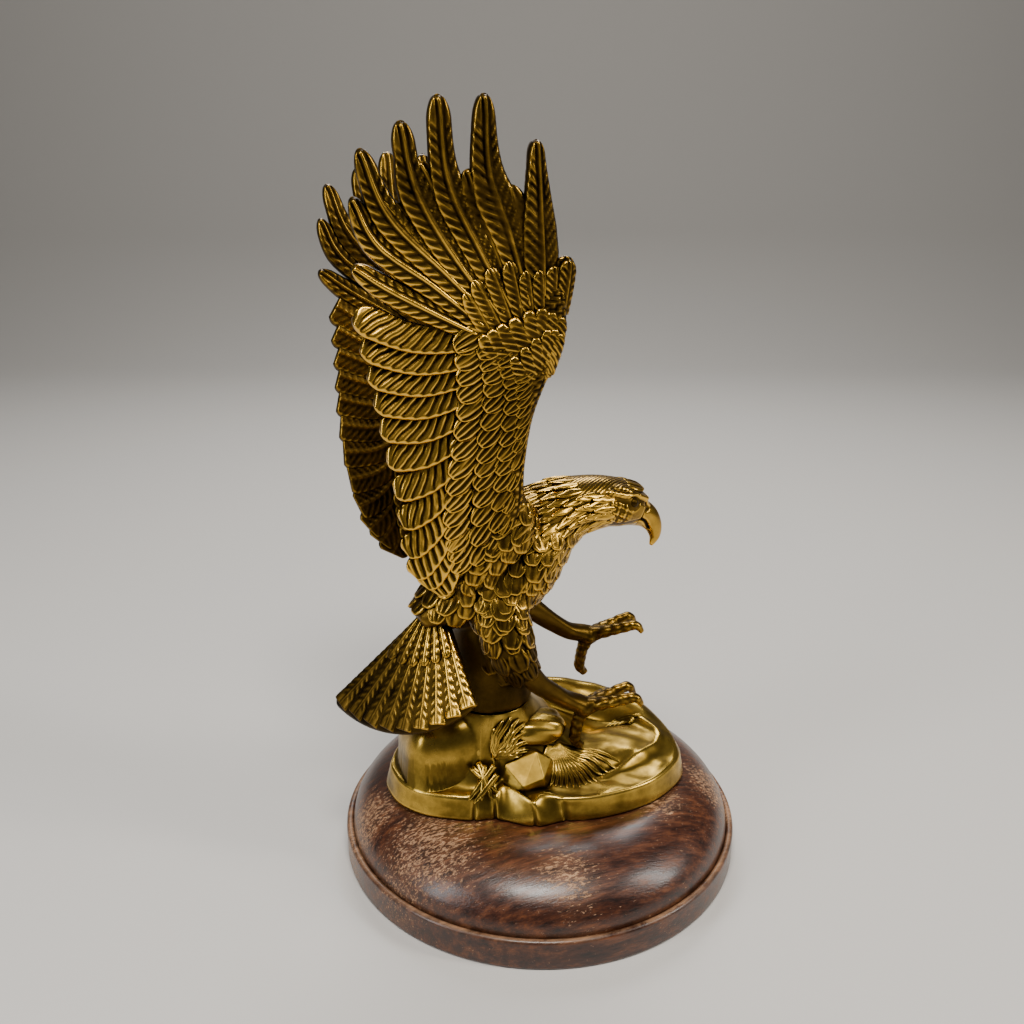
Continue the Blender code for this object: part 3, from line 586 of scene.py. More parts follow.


# Colours of the brass, from its deep patina and painted shade to its rubbed metal and painted highlights
ANTIQUE_COLOURS = ((0.006, 0.0035, 0.001), (0.115, 0.064, 0.010), (0.86, 0.50, 0.066))
POLISHED_COLOURS = ((0.024, 0.012, 0.003), (0.21, 0.132, 0.020), (0.72, 0.46, 0.080))
ANTIQUE = brass("antique_brass", *ANTIQUE_COLOURS, recess=0.48, gloss=0.23, reach=0.0045, patina=0.45)
POLISHED = brass("polished_brass", *POLISHED_COLOURS, recess=0.42, gloss=0.26, reach=0.003, patina=0.75)
WOOD = stained_wood()


# Pieces


def piece(name, meshes, material, node, wear_and_painted_light=1.0):
    """One finished piece of the object, which stands for a node of the frame.

    The wear value tells how far the patina is rubbed off, and on the wings and the tail it also holds painted
    light and painted shade.
    It is one number, or a function of (x, y, z) gives it at places in the eagle's units.
    """
    bm = bmesh.new()
    bm.verts.layers.float.new("carving")
    for mesh in meshes:
        bm.from_mesh(mesh)
    for face in bm.faces:
        face.material_index = 0
    made = bpy.data.meshes.new(name)
    bm.to_mesh(made)
    bm.free()
    made.materials.clear()
    made.materials.append(material)
    # The wear value is stored with its painted light and painted shade
    keep_values(made, "wear_and_painted_light", wear_and_painted_light(*eagle_places(made).T) if callable(wear_and_painted_light) else wear_and_painted_light)
    obj = linked(name, made)
    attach(obj, "root")
    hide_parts(node)


# Wings: laid out in the plane of x and z, with the wing's own curve giving y

WING_FOOT = 76.0
WING_FOOT_Y = 20.0
WING_LEAN = 0.125
WING_CAMBER = 3.0
WING_CHORD = 80.0
WING_LEADING_X = -6.0


def wing_y(x, z):
    share = np.clip((WING_LEADING_X - x) / WING_CHORD, 0.0, 1.0)
    return WING_FOOT_Y + WING_LEAN * (z - WING_FOOT) + WING_CAMBER * np.sin(math.pi * share)


# Primaries from the leading edge backwards: root, middle and tip
PRIMARIES = (
    ((-14, 190), (-16.5, 216), (-19.5, 249)),
    ((-19, 186), (-29, 215), (-38, 238), (-40, 264)),
    ((-26, 186), (-40, 209), (-53, 235), (-56.5, 263.5)),
    ((-30, 184), (-48, 205), (-64, 231), (-69.5, 255)),
    ((-33, 182), (-53, 202), (-74, 223), (-83.5, 246)),
    ((-36, 180), (-58, 198), (-78, 213), (-86.5, 230)),
    ((-39, 178), (-60, 189), (-76, 198), (-87, 206)),
)
PRIMARY_DEPTH = 2.2
# Width of each primary along it, as (share of its length, width)
PRIMARY_WIDTHS = (
    ((0, 10), (0.34, 16.5), (0.53, 15), (0.75, 10.2), (0.9, 7.2), (1, 6.4)),
    ((0, 9), (0.35, 14), (0.54, 16.5), (0.67, 12.9), (0.8, 10.3), (0.92, 8.6), (1, 8)),
    ((0, 9), (0.3, 12), (0.45, 12.5), (0.6, 13.5), (0.73, 10.4), (0.82, 9.4), (1, 8.6)),
    ((0, 8), (0.4, 12), (0.66, 13.2), (0.74, 11.6), (0.82, 8.6), (1, 8.4)),
    ((0, 8), (0.4, 11.5), (0.66, 12), (0.83, 8.7), (1, 7.2)),
    ((0, 7.5), (0.4, 10.5), (0.7, 10), (1, 6)),
    ((0, 7), (0.4, 10), (0.7, 9.5), (1, 6)),
)
# Short feathers whose tips show low between the primaries
UNDER_PRIMARIES = (
    ((-8, 190), (-6, 199), (-4, 207)),
    ((-17, 190), (-24, 212), (-29.6, 233.5)),
    ((-24, 187), (-36, 214), (-45.7, 239)),
    ((-30, 186), (-47, 213), (-62.8, 241.5)),
    ((-34, 184), (-56, 206), (-76, 229)),
)
UNDER_PRIMARY_WIDTHS = (9.0, 13.0, 12.5, 12.0, 11.0)
UNDER_PRIMARY_DEPTH = 1.3

SECONDARY_ROOTS = ((-43, 177), (-43, 158), (-45, 135), (-48, 112), (-46, 96))
SECONDARY_TIPS = ((-87, 188), (-82, 164), (-77.5, 139), (-72, 108), (-67, 78), (-56, 66))
SECONDARY_COUNT = 12
SECONDARY_WIDTH = 13.0
SECONDARY_BOW = 4.0
SECONDARY_DEPTH = 2.9
FAR_SECONDARY_TIPS = ((-80, 190), (-79, 166), (-78.5, 141), (-75, 112), (-66, 84), (-54, 69))
FAR_SECONDARY_WIDTH = 16.0
FAR_SECONDARY_DEPTH = 1.8

# Rows of coverts as (roots, tips, count, width, half depth): each root and tip row is a curve
GREAT_COVERTS = (
    (
        ((-29, 168), (-23, 176), (-15, 180), (-5, 184)),
        ((-46, 196), (-41, 202), (-31, 207), (-21, 202.5), (-13, 203.5), (-4, 206)),
        8,
        8.6,
        3.5,
    ),
)
ARC_COVERTS = (
    (
        ((-22, 156), (-17, 160), (-12, 162), (-9, 164)),
        ((-40, 179), (-31, 183.5), (-17, 188.5), (-6.5, 184.5)),
        8,
        8.6,
        4.6,
    ),
    (
        ((-18, 153), (-15, 156), (-12, 158), (-10, 160)),
        ((-27, 170), (-19, 176), (-11, 180.5), (-6.5, 178)),
        6,
        7.0,
        5.2,
    ),
)
LESSER_COVERTS = (
    (
        ((-37, 181), (-36.5, 158), (-40, 131), (-43, 106), (-41, 88)),
        ((-50, 174), (-48, 150), (-51, 121), (-52.6, 96), (-49, 76)),
        15,
        12.2,
        4.4,
    ),
    (
        ((-28, 178), (-27, 162), (-29.5, 140), (-30.5, 120), (-33, 92)),
        ((-41, 171), (-37.5, 153.5), (-39.5, 130), (-40.5, 109), (-41, 79)),
        14,
        12.0,
        4.7,
    ),
    (
        ((-20, 174), (-18.5, 161), (-20.5, 143), (-22.5, 124), (-25, 96)),
        ((-33, 167), (-29.3, 153), (-30.5, 133), (-32.2, 113), (-33.5, 84)),
        13,
        11.4,
        5.0,
    ),
    (
        ((-14.5, 166), (-16.5, 154), (-19.5, 137), (-24, 104)),
        ((-26, 160), (-24, 146), (-25, 127), (-29, 92)),
        12,
        8.6,
        5.2,
    ),
)


def wing_feather(points, widths, depth, count=14):
    """A feather in the wing's surface, with its widths along it as (share of its length, width)."""
    line = smooth_path(points, count)
    x = line[:, 0]
    z = line[:, 1]
    halves = 0.5 * np.interp(np.linspace(0, 1, count), *np.array(widths).T)
    step = 0.5
    slope_x = (wing_y(x + step, z) - wing_y(x - step, z)) / (2 * step)
    outward = unit_rows(np.stack([slope_x, -np.ones(count), np.full(count, WING_LEAN)], axis=1))
    return feather(np.stack([x, wing_y(x, z), z], axis=1), outward, halves, depth)


def covert_rows(table):
    made = []
    for roots, tips, count, width, depth in table:
        for root, tip in zip(smooth_path(roots, count), smooth_path(tips, count)):
            made.append(wing_feather((root, tip), ((0, 0.7 * width), (0.5, width), (1, width)), depth, 6))
    return made


def wing_feathers(secondary_tips, secondary_width, secondary_depth):
    """The rows of feathers of the wing on the side of +Y, in the order of the wings' size tables."""
    primaries = [wing_feather(p, w, PRIMARY_DEPTH, 24) for p, w in zip(PRIMARIES, PRIMARY_WIDTHS)]
    short = []
    for points, width in zip(UNDER_PRIMARIES, UNDER_PRIMARY_WIDTHS):
        short.append(wing_feather(points, ((0, 0.6 * width), (0.6, width), (1, width)), UNDER_PRIMARY_DEPTH))
    secondaries = []
    roots = smooth_path(SECONDARY_ROOTS, SECONDARY_COUNT)
    tips = smooth_path(secondary_tips, SECONDARY_COUNT)
    widths = ((0, 0.8 * secondary_width), (1, secondary_width))
    for root, tip in zip(roots, tips):
        middle = 0.5 * (root + tip) - np.array((0, SECONDARY_BOW))
        secondaries.append(wing_feather((root, middle, tip), widths, secondary_depth, 14))
    coverts = [covert_rows(table) for table in (GREAT_COVERTS, ARC_COVERTS, LESSER_COVERTS)]
    return [primaries, short, secondaries, *coverts]


# Core of the wing as (z, leading x, trailing x)
WING_CORE = (
    (76, -36, -50),
    (88, -24, -56),
    (104, -18.5, -60),
    (122, -18, -63),
    (142, -15.5, -66),
    (158, -10, -69),
    (172, -4, -68),
    (186, -3.2, -58),
    (195, -5.0, -42),
    (202, -9.0, -30),
)
WING_CORE_TAPER = (190.0, 202.0, 0.35)
# Section of the core from the leading edge back, as (share of the chord, half depth)
WING_SECTION = (
    (0.0, 1.6),
    (0.02, 2.9),
    (0.06, 3.9),
    (0.14, 3.7),
    (0.24, 2.0),
    (0.4, 1.0),
    (0.6, 0.4),
    (1.0, 0.3),
)
CORE_ROWS = 200
CORE_HALF_SIDES = 30
BRICK_LENGTH = 3.4
BRICK_WIDTH = 2.6
BRICK_REACH = 11.0
BRICK_DEPTH = 0.85


def wing_core():
    """The wing's core, its leading edge cut into small plates like bricks, and how clean each point is."""
    core = smooth_path(WING_CORE, CORE_ROWS)
    crowding = np.linspace(0, 1, CORE_HALF_SIDES) ** 1.8
    section = smooth_path(WING_SECTION, 400)
    depth = np.interp(crowding, section[:, 0], section[:, 1])
    rings = []
    clean = []
    for z, front, back in core:
        x = front + (back - front) * crowding
        from_edge = front - x
        row = np.floor(from_edge / BRICK_WIDTH)
        along = z / BRICK_LENGTH + 0.5 * (row % 2)
        line = np.minimum(np.abs(along - np.round(along)) * BRICK_LENGTH, 1.0)
        cross = np.abs(from_edge / BRICK_WIDTH - np.round(from_edge / BRICK_WIDTH)) * BRICK_WIDTH
        cut = BRICK_DEPTH * np.maximum(1 - line / 0.7, 1 - cross / 0.6).clip(0, 1) * (from_edge < BRICK_REACH)
        low, high, kept = WING_CORE_TAPER
        half = (depth - cut) * np.interp(z, (low, high), (1.0, kept))
        outer = np.stack([x, wing_y(x, z) + half, np.full_like(x, z)], axis=1)
        inner = np.stack([x, wing_y(x, z) - half, np.full_like(x, z)], axis=1)[::-1]
        rings.append(np.vstack([outer, inner]))
        shown = np.where(from_edge < BRICK_REACH, 0.85 - 0.8 * cut / BRICK_DEPTH, 0.3)
        clean.append(np.concatenate([shown, shown[::-1]]))
    return grid_shape(np.array(rings)), np.array(clean).ravel()


# Far wing: it leans out more than the near one, and is shorter, lower and further back
FAR_WING_LEAN = math.radians(5)
FAR_WING_PITCH = math.radians(5)
FAR_WING_SHORTER = 0.92
FAR_WING_SHIFT = (-2.0, 0.0, 3.5)
FAR_WING_HINGE = (0.0, WING_FOOT_Y, WING_FOOT)
FAR_WING_WRIST = (-40.0, 0.0, 187.0)


def far_wing_matrix():
    hinge = Matrix.Translation(FAR_WING_HINGE)
    wrist = Matrix.Translation(FAR_WING_WRIST)
    lean = hinge @ Matrix.Rotation(-FAR_WING_LEAN, 4, "X") @ hinge.inverted()
    pitch = wrist @ Matrix.Rotation(FAR_WING_PITCH, 4, "Y") @ wrist.inverted()
    shorter = Matrix.Scale(FAR_WING_SHORTER, 4, (0, 0, 1))
    return lean @ pitch @ Matrix.Translation(FAR_WING_SHIFT) @ shorter


def placed_feathers(feathers, matrix):
    """The feathers moved by a matrix, with every face still looking at the near side."""
    turned = np.array(matrix, float)
    out = []
    for line, outward, halves, depth in feathers:
        outward = unit_rows(outward @ turned[:3, :3].T)
        outward = np.where(outward[:, 1:2] > 0, -outward, outward)
        out.append((line @ turned[:3, :3].T + turned[:3, 3], outward, halves, depth))
    return out


PRIMARY_SIZES = {
    "Steps Along": 96,
    "Steps Around": 33,
    "Lip": 0.35,
    "Shaft Place": -0.1,
    "Shaft Half": 0.0006,
    "Shaft Height": 0.0007,
    "Barb Pitch": 0.0042,
    "Barb Slope": 1.2,
    "Barb Depth": 0.0009,
    "Barb End": 0.92,
    "Tip Start": 0.90,
    "Tip Blunt": 0.1,
    "Unevenness": 0.0006,
}
SHORT_PRIMARY_SIZES = {
    **PRIMARY_SIZES,
    "Steps Along": 60,
    "Steps Around": 21,
    "Barb Depth": 0.0004,
    "Tip Start": 0.75,
    "Unevenness": 0.0003,
}
SECONDARY_SIZES = {
    "Steps Along": 72,
    "Steps Around": 31,
    "Lip": 0.85,
    "Shaft Place": -1.0,
    "Shaft Half": 0.00002,
    "Shaft Height": 0.0,
    "Barb Pitch": 0.0040,
    "Barb Slope": 0.8,
    "Barb Depth": 0.0015,
    "Barb Low": -1.0,
    "Barb High": 0.62,
    "Barb End": 0.97,
    "Tip Start": 0.82,
    "Tip Blunt": 0.32,
    "Unevenness": 0.0005,
    "Root Depth": 0.5,
}
GREAT_COVERT_SIZES = {
    "Steps Along": 44,
    "Steps Around": 27,
    "Lip": 0.25,
    "Shaft Place": -0.2,
    "Shaft Half": 0.0004,
    "Shaft Height": 0.0003,
    "Barb Pitch": 0.0030,
    "Barb Slope": 1.2,
    "Barb Depth": 0.0009,
    "Barb End": 0.92,
    "Tip Start": 0.78,
    "Unevenness": 0.0004,
    "Root Depth": 0.5,
}
ARC_COVERT_SIZES = {
    **GREAT_COVERT_SIZES,
    "Steps Along": 34,
    "Steps Around": 21,
    "Lip": 0.05,
    "Shaft Place": -1.0,
    "Shaft Half": 0.00002,
    "Shaft Height": 0.0,
    "Barb Pitch": 0.0032,
    "Barb Slope": 1.0,
    "Barb Low": -0.95,
    "Barb High": 0.95,
    "Tip Start": 0.72,
    "Tip Blunt": 0.3,
    "Unevenness": 0.0002,
    "Root Depth": 0.6,
}
LESSER_COVERT_SIZES = {
    "Steps Along": 20,
    "Steps Around": 37,
    "Lip": 0.15,
    "Shaft Half": 0.00002,
    "Shaft Height": 0.0,
    "Barb Pitch": 0.04,
    "Barb Depth": 0.0013,
    "Barb Low": -1.05,
    "Barb High": 1.05,
    "Barb End": 0.95,
    "Ribs": 2.3,
    "Tip Start": 0.5,
    "Tip Blunt": 0.15,
    "Unevenness": 0.0005,
    "Root Depth": 0.5,
}
NEAR_WING_SIZES = (
    PRIMARY_SIZES,
    SHORT_PRIMARY_SIZES,
    SECONDARY_SIZES,
    GREAT_COVERT_SIZES,
    ARC_COVERT_SIZES,
    LESSER_COVERT_SIZES,
)
# The far wing is plainer, and its flat secondaries carry a herringbone on both sides of the shaft
FAR_WING_SIZES = (
    {**PRIMARY_SIZES, "Steps Along": 80, "Steps Around": 25},
    {**SHORT_PRIMARY_SIZES, "Steps Along": 40, "Steps Around": 15},
    {
        **PRIMARY_SIZES,
        "Steps Along": 54,
        "Steps Around": 29,
        "Lip": 0.5,
        "Shaft Place": 0.0,
        "Shaft Half": 0.0003,
        "Barb Pitch": 0.0030,
        "Barb Slope": 0.8,
        "Barb Depth": 0.0007,
        "Barb End": 0.98,
        "Tip Start": 0.90,
        "Tip Blunt": 0.7,
        "Unevenness": 0.0002,
    },
    {**GREAT_COVERT_SIZES, "Steps Along": 24, "Steps Around": 17},
    {**ARC_COVERT_SIZES, "Steps Along": 16, "Steps Around": 15},
    {**LESSER_COVERT_SIZES, "Steps Along": 10, "Steps Around": 21},
)


# The far wing's finish is painted darker than the near wing's: painted shade over its rubbing
FAR_WING_WEAR_AND_SHADE = 0.50


def near_wing_wear_and_highlight(x, y, z):
    """The secondaries are rubbed brightest and painted lighter still, a painted highlight of the light that
    falls on them, then the wing below its long feathers' tips.
    """
    low = 1 / (1 + np.exp((z - 214) / 8))
    back = 1 / (1 + np.exp((x + 42) / 6))
    return 0.56 + 0.08 * low + 0.52 * low * back


def wing(name, matrix, wear_and_painted_light, tables, secondaries):
    """The wing's long feathers and its coverts on the core, as two pieces."""
    meshes = []
    for feathers, sizes in zip(wing_feathers(*secondaries), tables):
        meshes.append(carve(name, placed_feathers(feathers, matrix), ANTIQUE, **sizes))
    shape, clean = wing_core()
    core = mesh_of(name, moved(shape, matrix))
    set_carving(core, clean)
    piece(name + "_feathers", meshes[:3], ANTIQUE, "eagle", wear_and_painted_light)
    piece(name + "_coverts", [*meshes[3:], core], ANTIQUE, "eagle", wear_and_painted_light)


# Body, neck and head, as (x, y, z, half width, half depth)

BODY = (
    (-60, -2, 45, 8, 5),
    (-50, -1, 50, 15, 11),
    (-36, 0, 57, 22, 19),
    (-19, 0, 67, 26, 22.5),
    (-6, 0, 79.5, 23.5, 19.5),
    (8, 0, 89, 16.5, 14.8),
    (21, 0, 91.5, 13.5, 13),
    (32, 0, 91, 12, 12),
    (40, 0, 89, 11.3, 11),
    (47, 0, 86, 8.5, 8.5),
)
BEAK = (
    (42, 0, 86, 7.5, 7.5),
    (51, 0, 82.5, 5.0, 6.4),
    (56, 0, 77, 3.6, 4.6),
    (57.4, 0, 71, 2.3, 2.9),
    (55.6, 0, 66, 0.8, 1.0),
)
BROW = (
    (20, 0, 101, 5, 0.6),
    (29, 0, 100, 8.5, 1.8),
    (38, 0, 98.6, 9.4, 2.3),
    (47, 0, 92.6, 7.0, 1.9),
    (52.5, 0, 87.5, 4.0, 1.0),
)
SHOULDER_PAD = (
    (-44, 13, 66, 8, 9),
    (-34, 15, 78, 11, 14),
    (-22, 17, 92, 11, 15),
    (-20, 23.5, 104, 4, 5),
    (-20, 26, 114, 1, 1.5),
)
STUMP = (
    (-26, -1, 0.4, 20, 20),
    (-26, -1, 5, 20, 20),
    (-26.5, -1, 16, 20, 20),
    (-27, -1, 28, 19.5, 18.5),
    (-28, -1, 41, 18, 16),
    (-30, -1, 52, 14, 12),
)
NEAR_THIGH = ((-26, -15, 66, 9, 13), (-26, -20, 50, 10, 12), (-22, -23, 33, 9, 10), (-15, -22, 19, 6, 6.5))
FAR_THIGH = ((-22, 12, 62, 9, 12), (-14, 16, 50, 9, 10), (-6, 18, 40, 8, 8), (1, 18, 33, 5.5, 5.5))
NEAR_SHANK = ((-17, -22, 24, 5.5, 6), (-9, -22, 14, 4.6, 5), (3, -21, 4, 4, 4.4), (15, -20, -4, 4.6, 4.8))
FAR_SHANK = ((-4, 18, 37, 6, 6), (8, 18, 27, 4.8, 5), (20, 18, 18, 4, 4.4), (32, 18, 13, 4.6, 4.8))

# Voxels of the fused skins, in the eagle's units, and how clear of patina each skin is
BODY_VOXEL = 1.5
BODY_CLEAN = 0.62
HEAD_VOXEL = 0.52
EYE_CLEAN = 0.2
LEG_VOXEL = 0.53
LEG_CLEAN = 0.7
LEG_WEAR = 0.85

MIRROR = Matrix.Scale(-1, 4, (0, 1, 0))


def body_skin():
    pad = tube(SHOULDER_PAD, 14, 20)
    shapes = [tube(BODY, 40, 32), tube(STUMP, 16, 32), pad, moved(pad, MIRROR)]
    shapes += [tube(limb, 14, 20) for limb in (NEAR_THIGH, FAR_THIGH)]
    return fused("body_skin", joined(shapes), BODY_VOXEL * UNIT, 5)


class Skin:
    """Finds places on a mesh, in the eagle's units."""

    def __init__(self, mesh):
        points = [tuple(place) for place in eagle_places(mesh)]
        self.tree = BVHTree.FromPolygons(points, [tuple(face.vertices) for face in mesh.polygons])

    def out_from(self, centre, direction):
        spot, normal, _, _ = self.tree.ray_cast(Vector(centre), Vector(direction))
        return (None, None) if spot is None else (np.array(spot), np.array(normal))

    def nearest(self, point):
        spot, normal, _, _ = self.tree.find_nearest(Vector(point))
        return np.array(spot), np.array(normal)


DRAPED_POINTS = 7


def draped(skin, spot, normal, flow, length, width, depth, sink, rise, shape):
    """A feather that lies on the skin round a spot, its root sunk and its tip raised."""
    flow = np.array(flow, float)
    flow = flow - normal * (flow @ normal)
    flow = flow / max(np.linalg.norm(flow), 1e-9)
    line = []
    faces = []
    for share in np.linspace(-0.4, 0.6, DRAPED_POINTS):
        place, facing = skin.nearest(spot + flow * length * share)
        facing = unit_rows(facing + normal)
        lift = -sink + (sink + rise) * (share + 0.4)
        line.append(place + facing * lift)
        faces.append(facing)
    halves = 0.5 * width * np.interp(np.linspace(0, 1, DRAPED_POINTS), (0.0, 0.5, 1.0), shape)
    return feather(line, faces, halves, depth)


def drape_rows(skin, path, layout, keep):
    """Rows of feathers round a limb's path, every row half a feather turned from the one before.

    keep(spot, normal) tells whether a feather stays.
    """
    rows, across, length, width, depth, sink, rise, seed, shape = layout
    random = np.random.default_rng(seed)
    samples = smooth_path(path, rows)
    along, side, up = path_axes(samples)
    made = []
    for row in range(rows):
        ring = []
        turns = np.linspace(0, 2 * math.pi, 73)
        for turn in turns:
            spot, _ = skin.out_from(samples[row, :3], side[row] * math.cos(turn) + up[row] * math.sin(turn))
            ring.append(samples[row, :3] if spot is None else spot)
        ring = np.array(ring)
        reach = np.concatenate([[0], np.cumsum(np.linalg.norm(np.diff(ring, axis=0), axis=1))])
        count = max(int(round(reach[-1] / across)), 3)
        for i in range(count):
            want = reach[-1] * ((i + 0.5 * (row % 2)) / count + random.normal(0, 0.06) / count)
            turn = np.interp(want % reach[-1], reach, turns)
            direction = side[row] * math.cos(turn) + up[row] * math.sin(turn)
            spot, normal = skin.out_from(samples[row, :3], direction)
            if spot is None or not keep(spot, normal):
                continue
            size = 1 + random.normal(0, 0.07)
            sway = side[row] * random.normal(0, 0.12)
            sizes = (length * size, width * size, depth, sink, rise)
            made.append(draped(skin, spot, normal, along[row] + sway, *sizes, shape))
    return made


# Paths that the feather rows follow: down the trunk, and from the head back along the neck
SHOULDER_FLOW = ((-17, 24, 110), (-18, 21, 103), (-21, 18, 96), (-26, 16, 89))
TRUNK_FLOW = ((-17, 0, 100), (-19, 0, 88), (-23, 0, 74), (-27, 0, 60), (-31, -1, 46))
NECK_FLOW = ((27, 0, 91), (20, 0, 91.2), (11, 0, 89.5), (0, 0, 85), (-7, 0, 81))
# Rows as (rows, spacing, length, width, half depth, sink, rise, seed, shares of the width along a feather)
TRUNK_ROWS = (10, 9.4, 12.5, 12.0, 1.4, 1.9, 1.0, 3, (0.6, 1.0, 1.0))
SHOULDER_ROWS = (4, 8.0, 12.0, 10.5, 1.3, 1.6, 0.9, 4, (0.6, 1.0, 1.0))
NEAR_THIGH_ROWS = (7, 8.6, 12.0, 10.8, 1.3, 1.6, 0.9, 5, (0.6, 1.0, 1.0))
FAR_THIGH_ROWS = (6, 8.6, 12.0, 10.8, 1.3, 1.6, 0.8, 6, (0.6, 1.0, 1.0))
NECK_ROWS = (8, 4.4, 15.0, 5.4, 1.1, 1.1, 0.6, 7, (0.4, 1.0, 0.6))
SCALLOP_SIZES = {
    "Steps Along": 12,
    "Steps Around": 25,
    "Lip": 0.0,
    "Shaft Half": 0.00002,
    "Shaft Height": 0.0,
    "Barb Pitch": 0.03,
    "Barb Depth": 0.0011,
    "Barb End": 0.86,
    "Ribs": 2.4,
    "Tip Start": 0.3,
    "Tip Blunt": 0.2,
    "Unevenness": 0.0006,
}
HACKLE_SIZES = {
    "Steps Along": 16,
    "Steps Around": 13,
    "Lip": 0.2,
    "Shaft Half": 0.00002,
    "Shaft Height": 0.0,
    "Barb Pitch": 0.014,
    "Barb Depth": 0.0006,
    "Ribs": 1.1,
    "Tip Start": 0.3,
    "Unevenness": 0.0005,
}


def on_trunk(spot, normal):
    on_nape = spot[0] > -8 and normal[2] > 0.6
    return spot[2] > 41 and -62 < spot[0] < 21 - 0.3 * (100 - spot[2]) and not on_nape


def on_near_shoulder(spot, normal):
    return normal[1] < -0.4 and 84 < spot[2] < 108 and spot[0] < -14


def on_far_shoulder(spot, normal):
    return normal[1] > 0.4 and 84 < spot[2] < 108 and spot[0] < -14


def on_near_thigh(spot, normal):
    return spot[2] > 19 and spot[1] < -14 and spot[0] > -37


def on_far_thigh(spot, normal):
    return spot[2] > 38 and normal[1] > -0.3


def below_crown(spot, normal):
    """Everywhere round the neck and its nape but on the head's crown."""
    return normal[2] < 0.62 or spot[0] < 16


def body_wear(x, y, z):
    """The stump keeps its dark finish, the neck is rubbed brightest."""
    above = 1 / (1 + np.exp(-(z - 34) / 3))
    on_neck = 1 / (1 + np.exp(-(x - 2) / 6))
    return 0.42 + 0.33 * above + 0.25 * on_neck


def body():
    skin_mesh = body_skin()
    skin = Skin(skin_mesh)
    near_shoulder = np.array(SHOULDER_FLOW) * np.array((1, -1, 1))
    scallops = []
    for path, layout, keep in (
        (TRUNK_FLOW, TRUNK_ROWS, on_trunk),
        (near_shoulder, SHOULDER_ROWS, on_near_shoulder),
        (SHOULDER_FLOW, SHOULDER_ROWS, on_far_shoulder),
        (NEAR_THIGH, NEAR_THIGH_ROWS, on_near_thigh),
        (FAR_THIGH, FAR_THIGH_ROWS, on_far_thigh),
    ):
        scallops += drape_rows(skin, path, layout, keep)
    hackles = drape_rows(skin, NECK_FLOW, NECK_ROWS, below_crown)
    scallop_mesh = carve("scallops", scallops, ANTIQUE, **SCALLOP_SIZES)
    hackle_mesh = carve("hackles", hackles, ANTIQUE, **HACKLE_SIZES)
    set_carving(skin_mesh, BODY_CLEAN)
    piece("eagle_body", [skin_mesh, scallop_mesh], ANTIQUE, "eagle", body_wear)
    piece("eagle_neck_feathers", [hackle_mesh], ANTIQUE, "eagle", body_wear)


# Head: lines in its side view, as (x, z)

EYE = (41.1, 92.4)
EYE_RADIUS = 2.4
EYE_OUT = 9.3
SOCKET_DEPTH = 1.3
MOUTH_LINE = ((27, 83.6), (36.7, 82.4), (45, 82.6), (49.3, 81.0), (52.5, 76.0))
CERE_LINE = ((49.5, 91.0), (48.3, 87.5), (47.4, 82.6))
BROW_LINE = ((29, 98.6), (36, 96.6), (43, 95.2), (50, 91.8))
LID_LINE = ((31, 96.0), (37, 94.2), (44, 93.0), (48.5, 90.4))
NOSTRIL = (50.6, 86.4)
NOSTRIL_RADIUS = 0.9
# Cheek nodules and the oblique strokes on the crown
NODULE_PITCH = 3.0
NODULE_HEIGHT = 0.55
STROKE_PITCH = 2.4
STROKE_DEPTH = 0.28


def line_distance(x, y, line):
    """Distance in a plane from points to a line of straight stretches."""
    line = np.array(smooth_path(line, 6 * len(line)))[:, :2]
    best = np.full(x.shape, 1e9)
    for (ax, ay), (bx, by) in zip(line[:-1], line[1:]):
        ex, ey = bx - ax, by - ay
        t = np.clip(((x - ax) * ex + (y - ay) * ey) / max(ex * ex + ey * ey, 1e-12), 0, 1)
        best = np.minimum(best, np.hypot(x - ax - t * ex, y - ay - t * ey))
    return best


def groove(distance, half, depth):
    return -depth * np.exp(-((distance / half) ** 2))


def head():
    shapes = [tube(BODY[4:], 60, 40), tube(BEAK, 40, 28), tube(BROW, 24, 16)]
    skin = fused("head_skin", joined(shapes), HEAD_VOXEL * UNIT, 4)
    x, y, z = eagle_places(skin).T
    outer = np.clip((np.abs(y) - 0.8) / 1.5, 0, 1)
    marks = [
        groove(line_distance(x, z, MOUTH_LINE), 0.6, 1.0) * outer,
        groove(line_distance(x, z, CERE_LINE), 0.5, 0.7),
        -groove(line_distance(x, z, BROW_LINE), 1.3, 1.5) * outer,
        groove(line_distance(x, z, LID_LINE), 0.7, 1.2) * outer,
        groove(np.hypot(x - EYE[0], z - EYE[1]) - EYE_RADIUS, 0.8, SOCKET_DEPTH) * outer,
        groove(np.hypot(x - NOSTRIL[0], z - NOSTRIL[1]), NOSTRIL_RADIUS, 0.7) * outer,
    ]
    cheek = np.exp(-(((x - 31) / 7.5) ** 4) - (((z - 89.5) / 6.5) ** 4)) * outer
    lumps = np.sin(math.pi * (x + 0.4 * z) / NODULE_PITCH) * np.sin(math.pi * (z - 0.3 * x) / NODULE_PITCH)
    lumps += 0.5 * np.sin(2.3 * x + 1.1 * z) * np.sin(1.9 * z - 0.7 * x + 1.0)
    marks.append(NODULE_HEIGHT * lumps * cheek)
    crown = np.clip((z - 96) / 2, 0, 1) * np.clip((46 - x) / 4, 0, 1)
    strokes = np.abs(np.sin(math.pi * (x + 1.4 * np.abs(y) - 0.5 * z) / STROKE_PITCH)) ** 0.6 - 1
    marks.append(STROKE_DEPTH * strokes * crown)
    total = np.sum(marks, axis=0)
    displace(skin, total * UNIT)
    set_carving(skin, np.clip(0.95 + 1.3 * np.minimum(total, 0), 0.05, 1))
    balls = [ball((EYE[0], side * EYE_OUT, EYE[1]), (EYE_RADIUS,) * 3) for side in (-1, 1)]
    eyes = mesh_of("eyes", joined(balls))
    set_carving(eyes, EYE_CLEAN)
    piece("eagle_head", [skin, eyes], ANTIQUE, "eagle")


# Legs

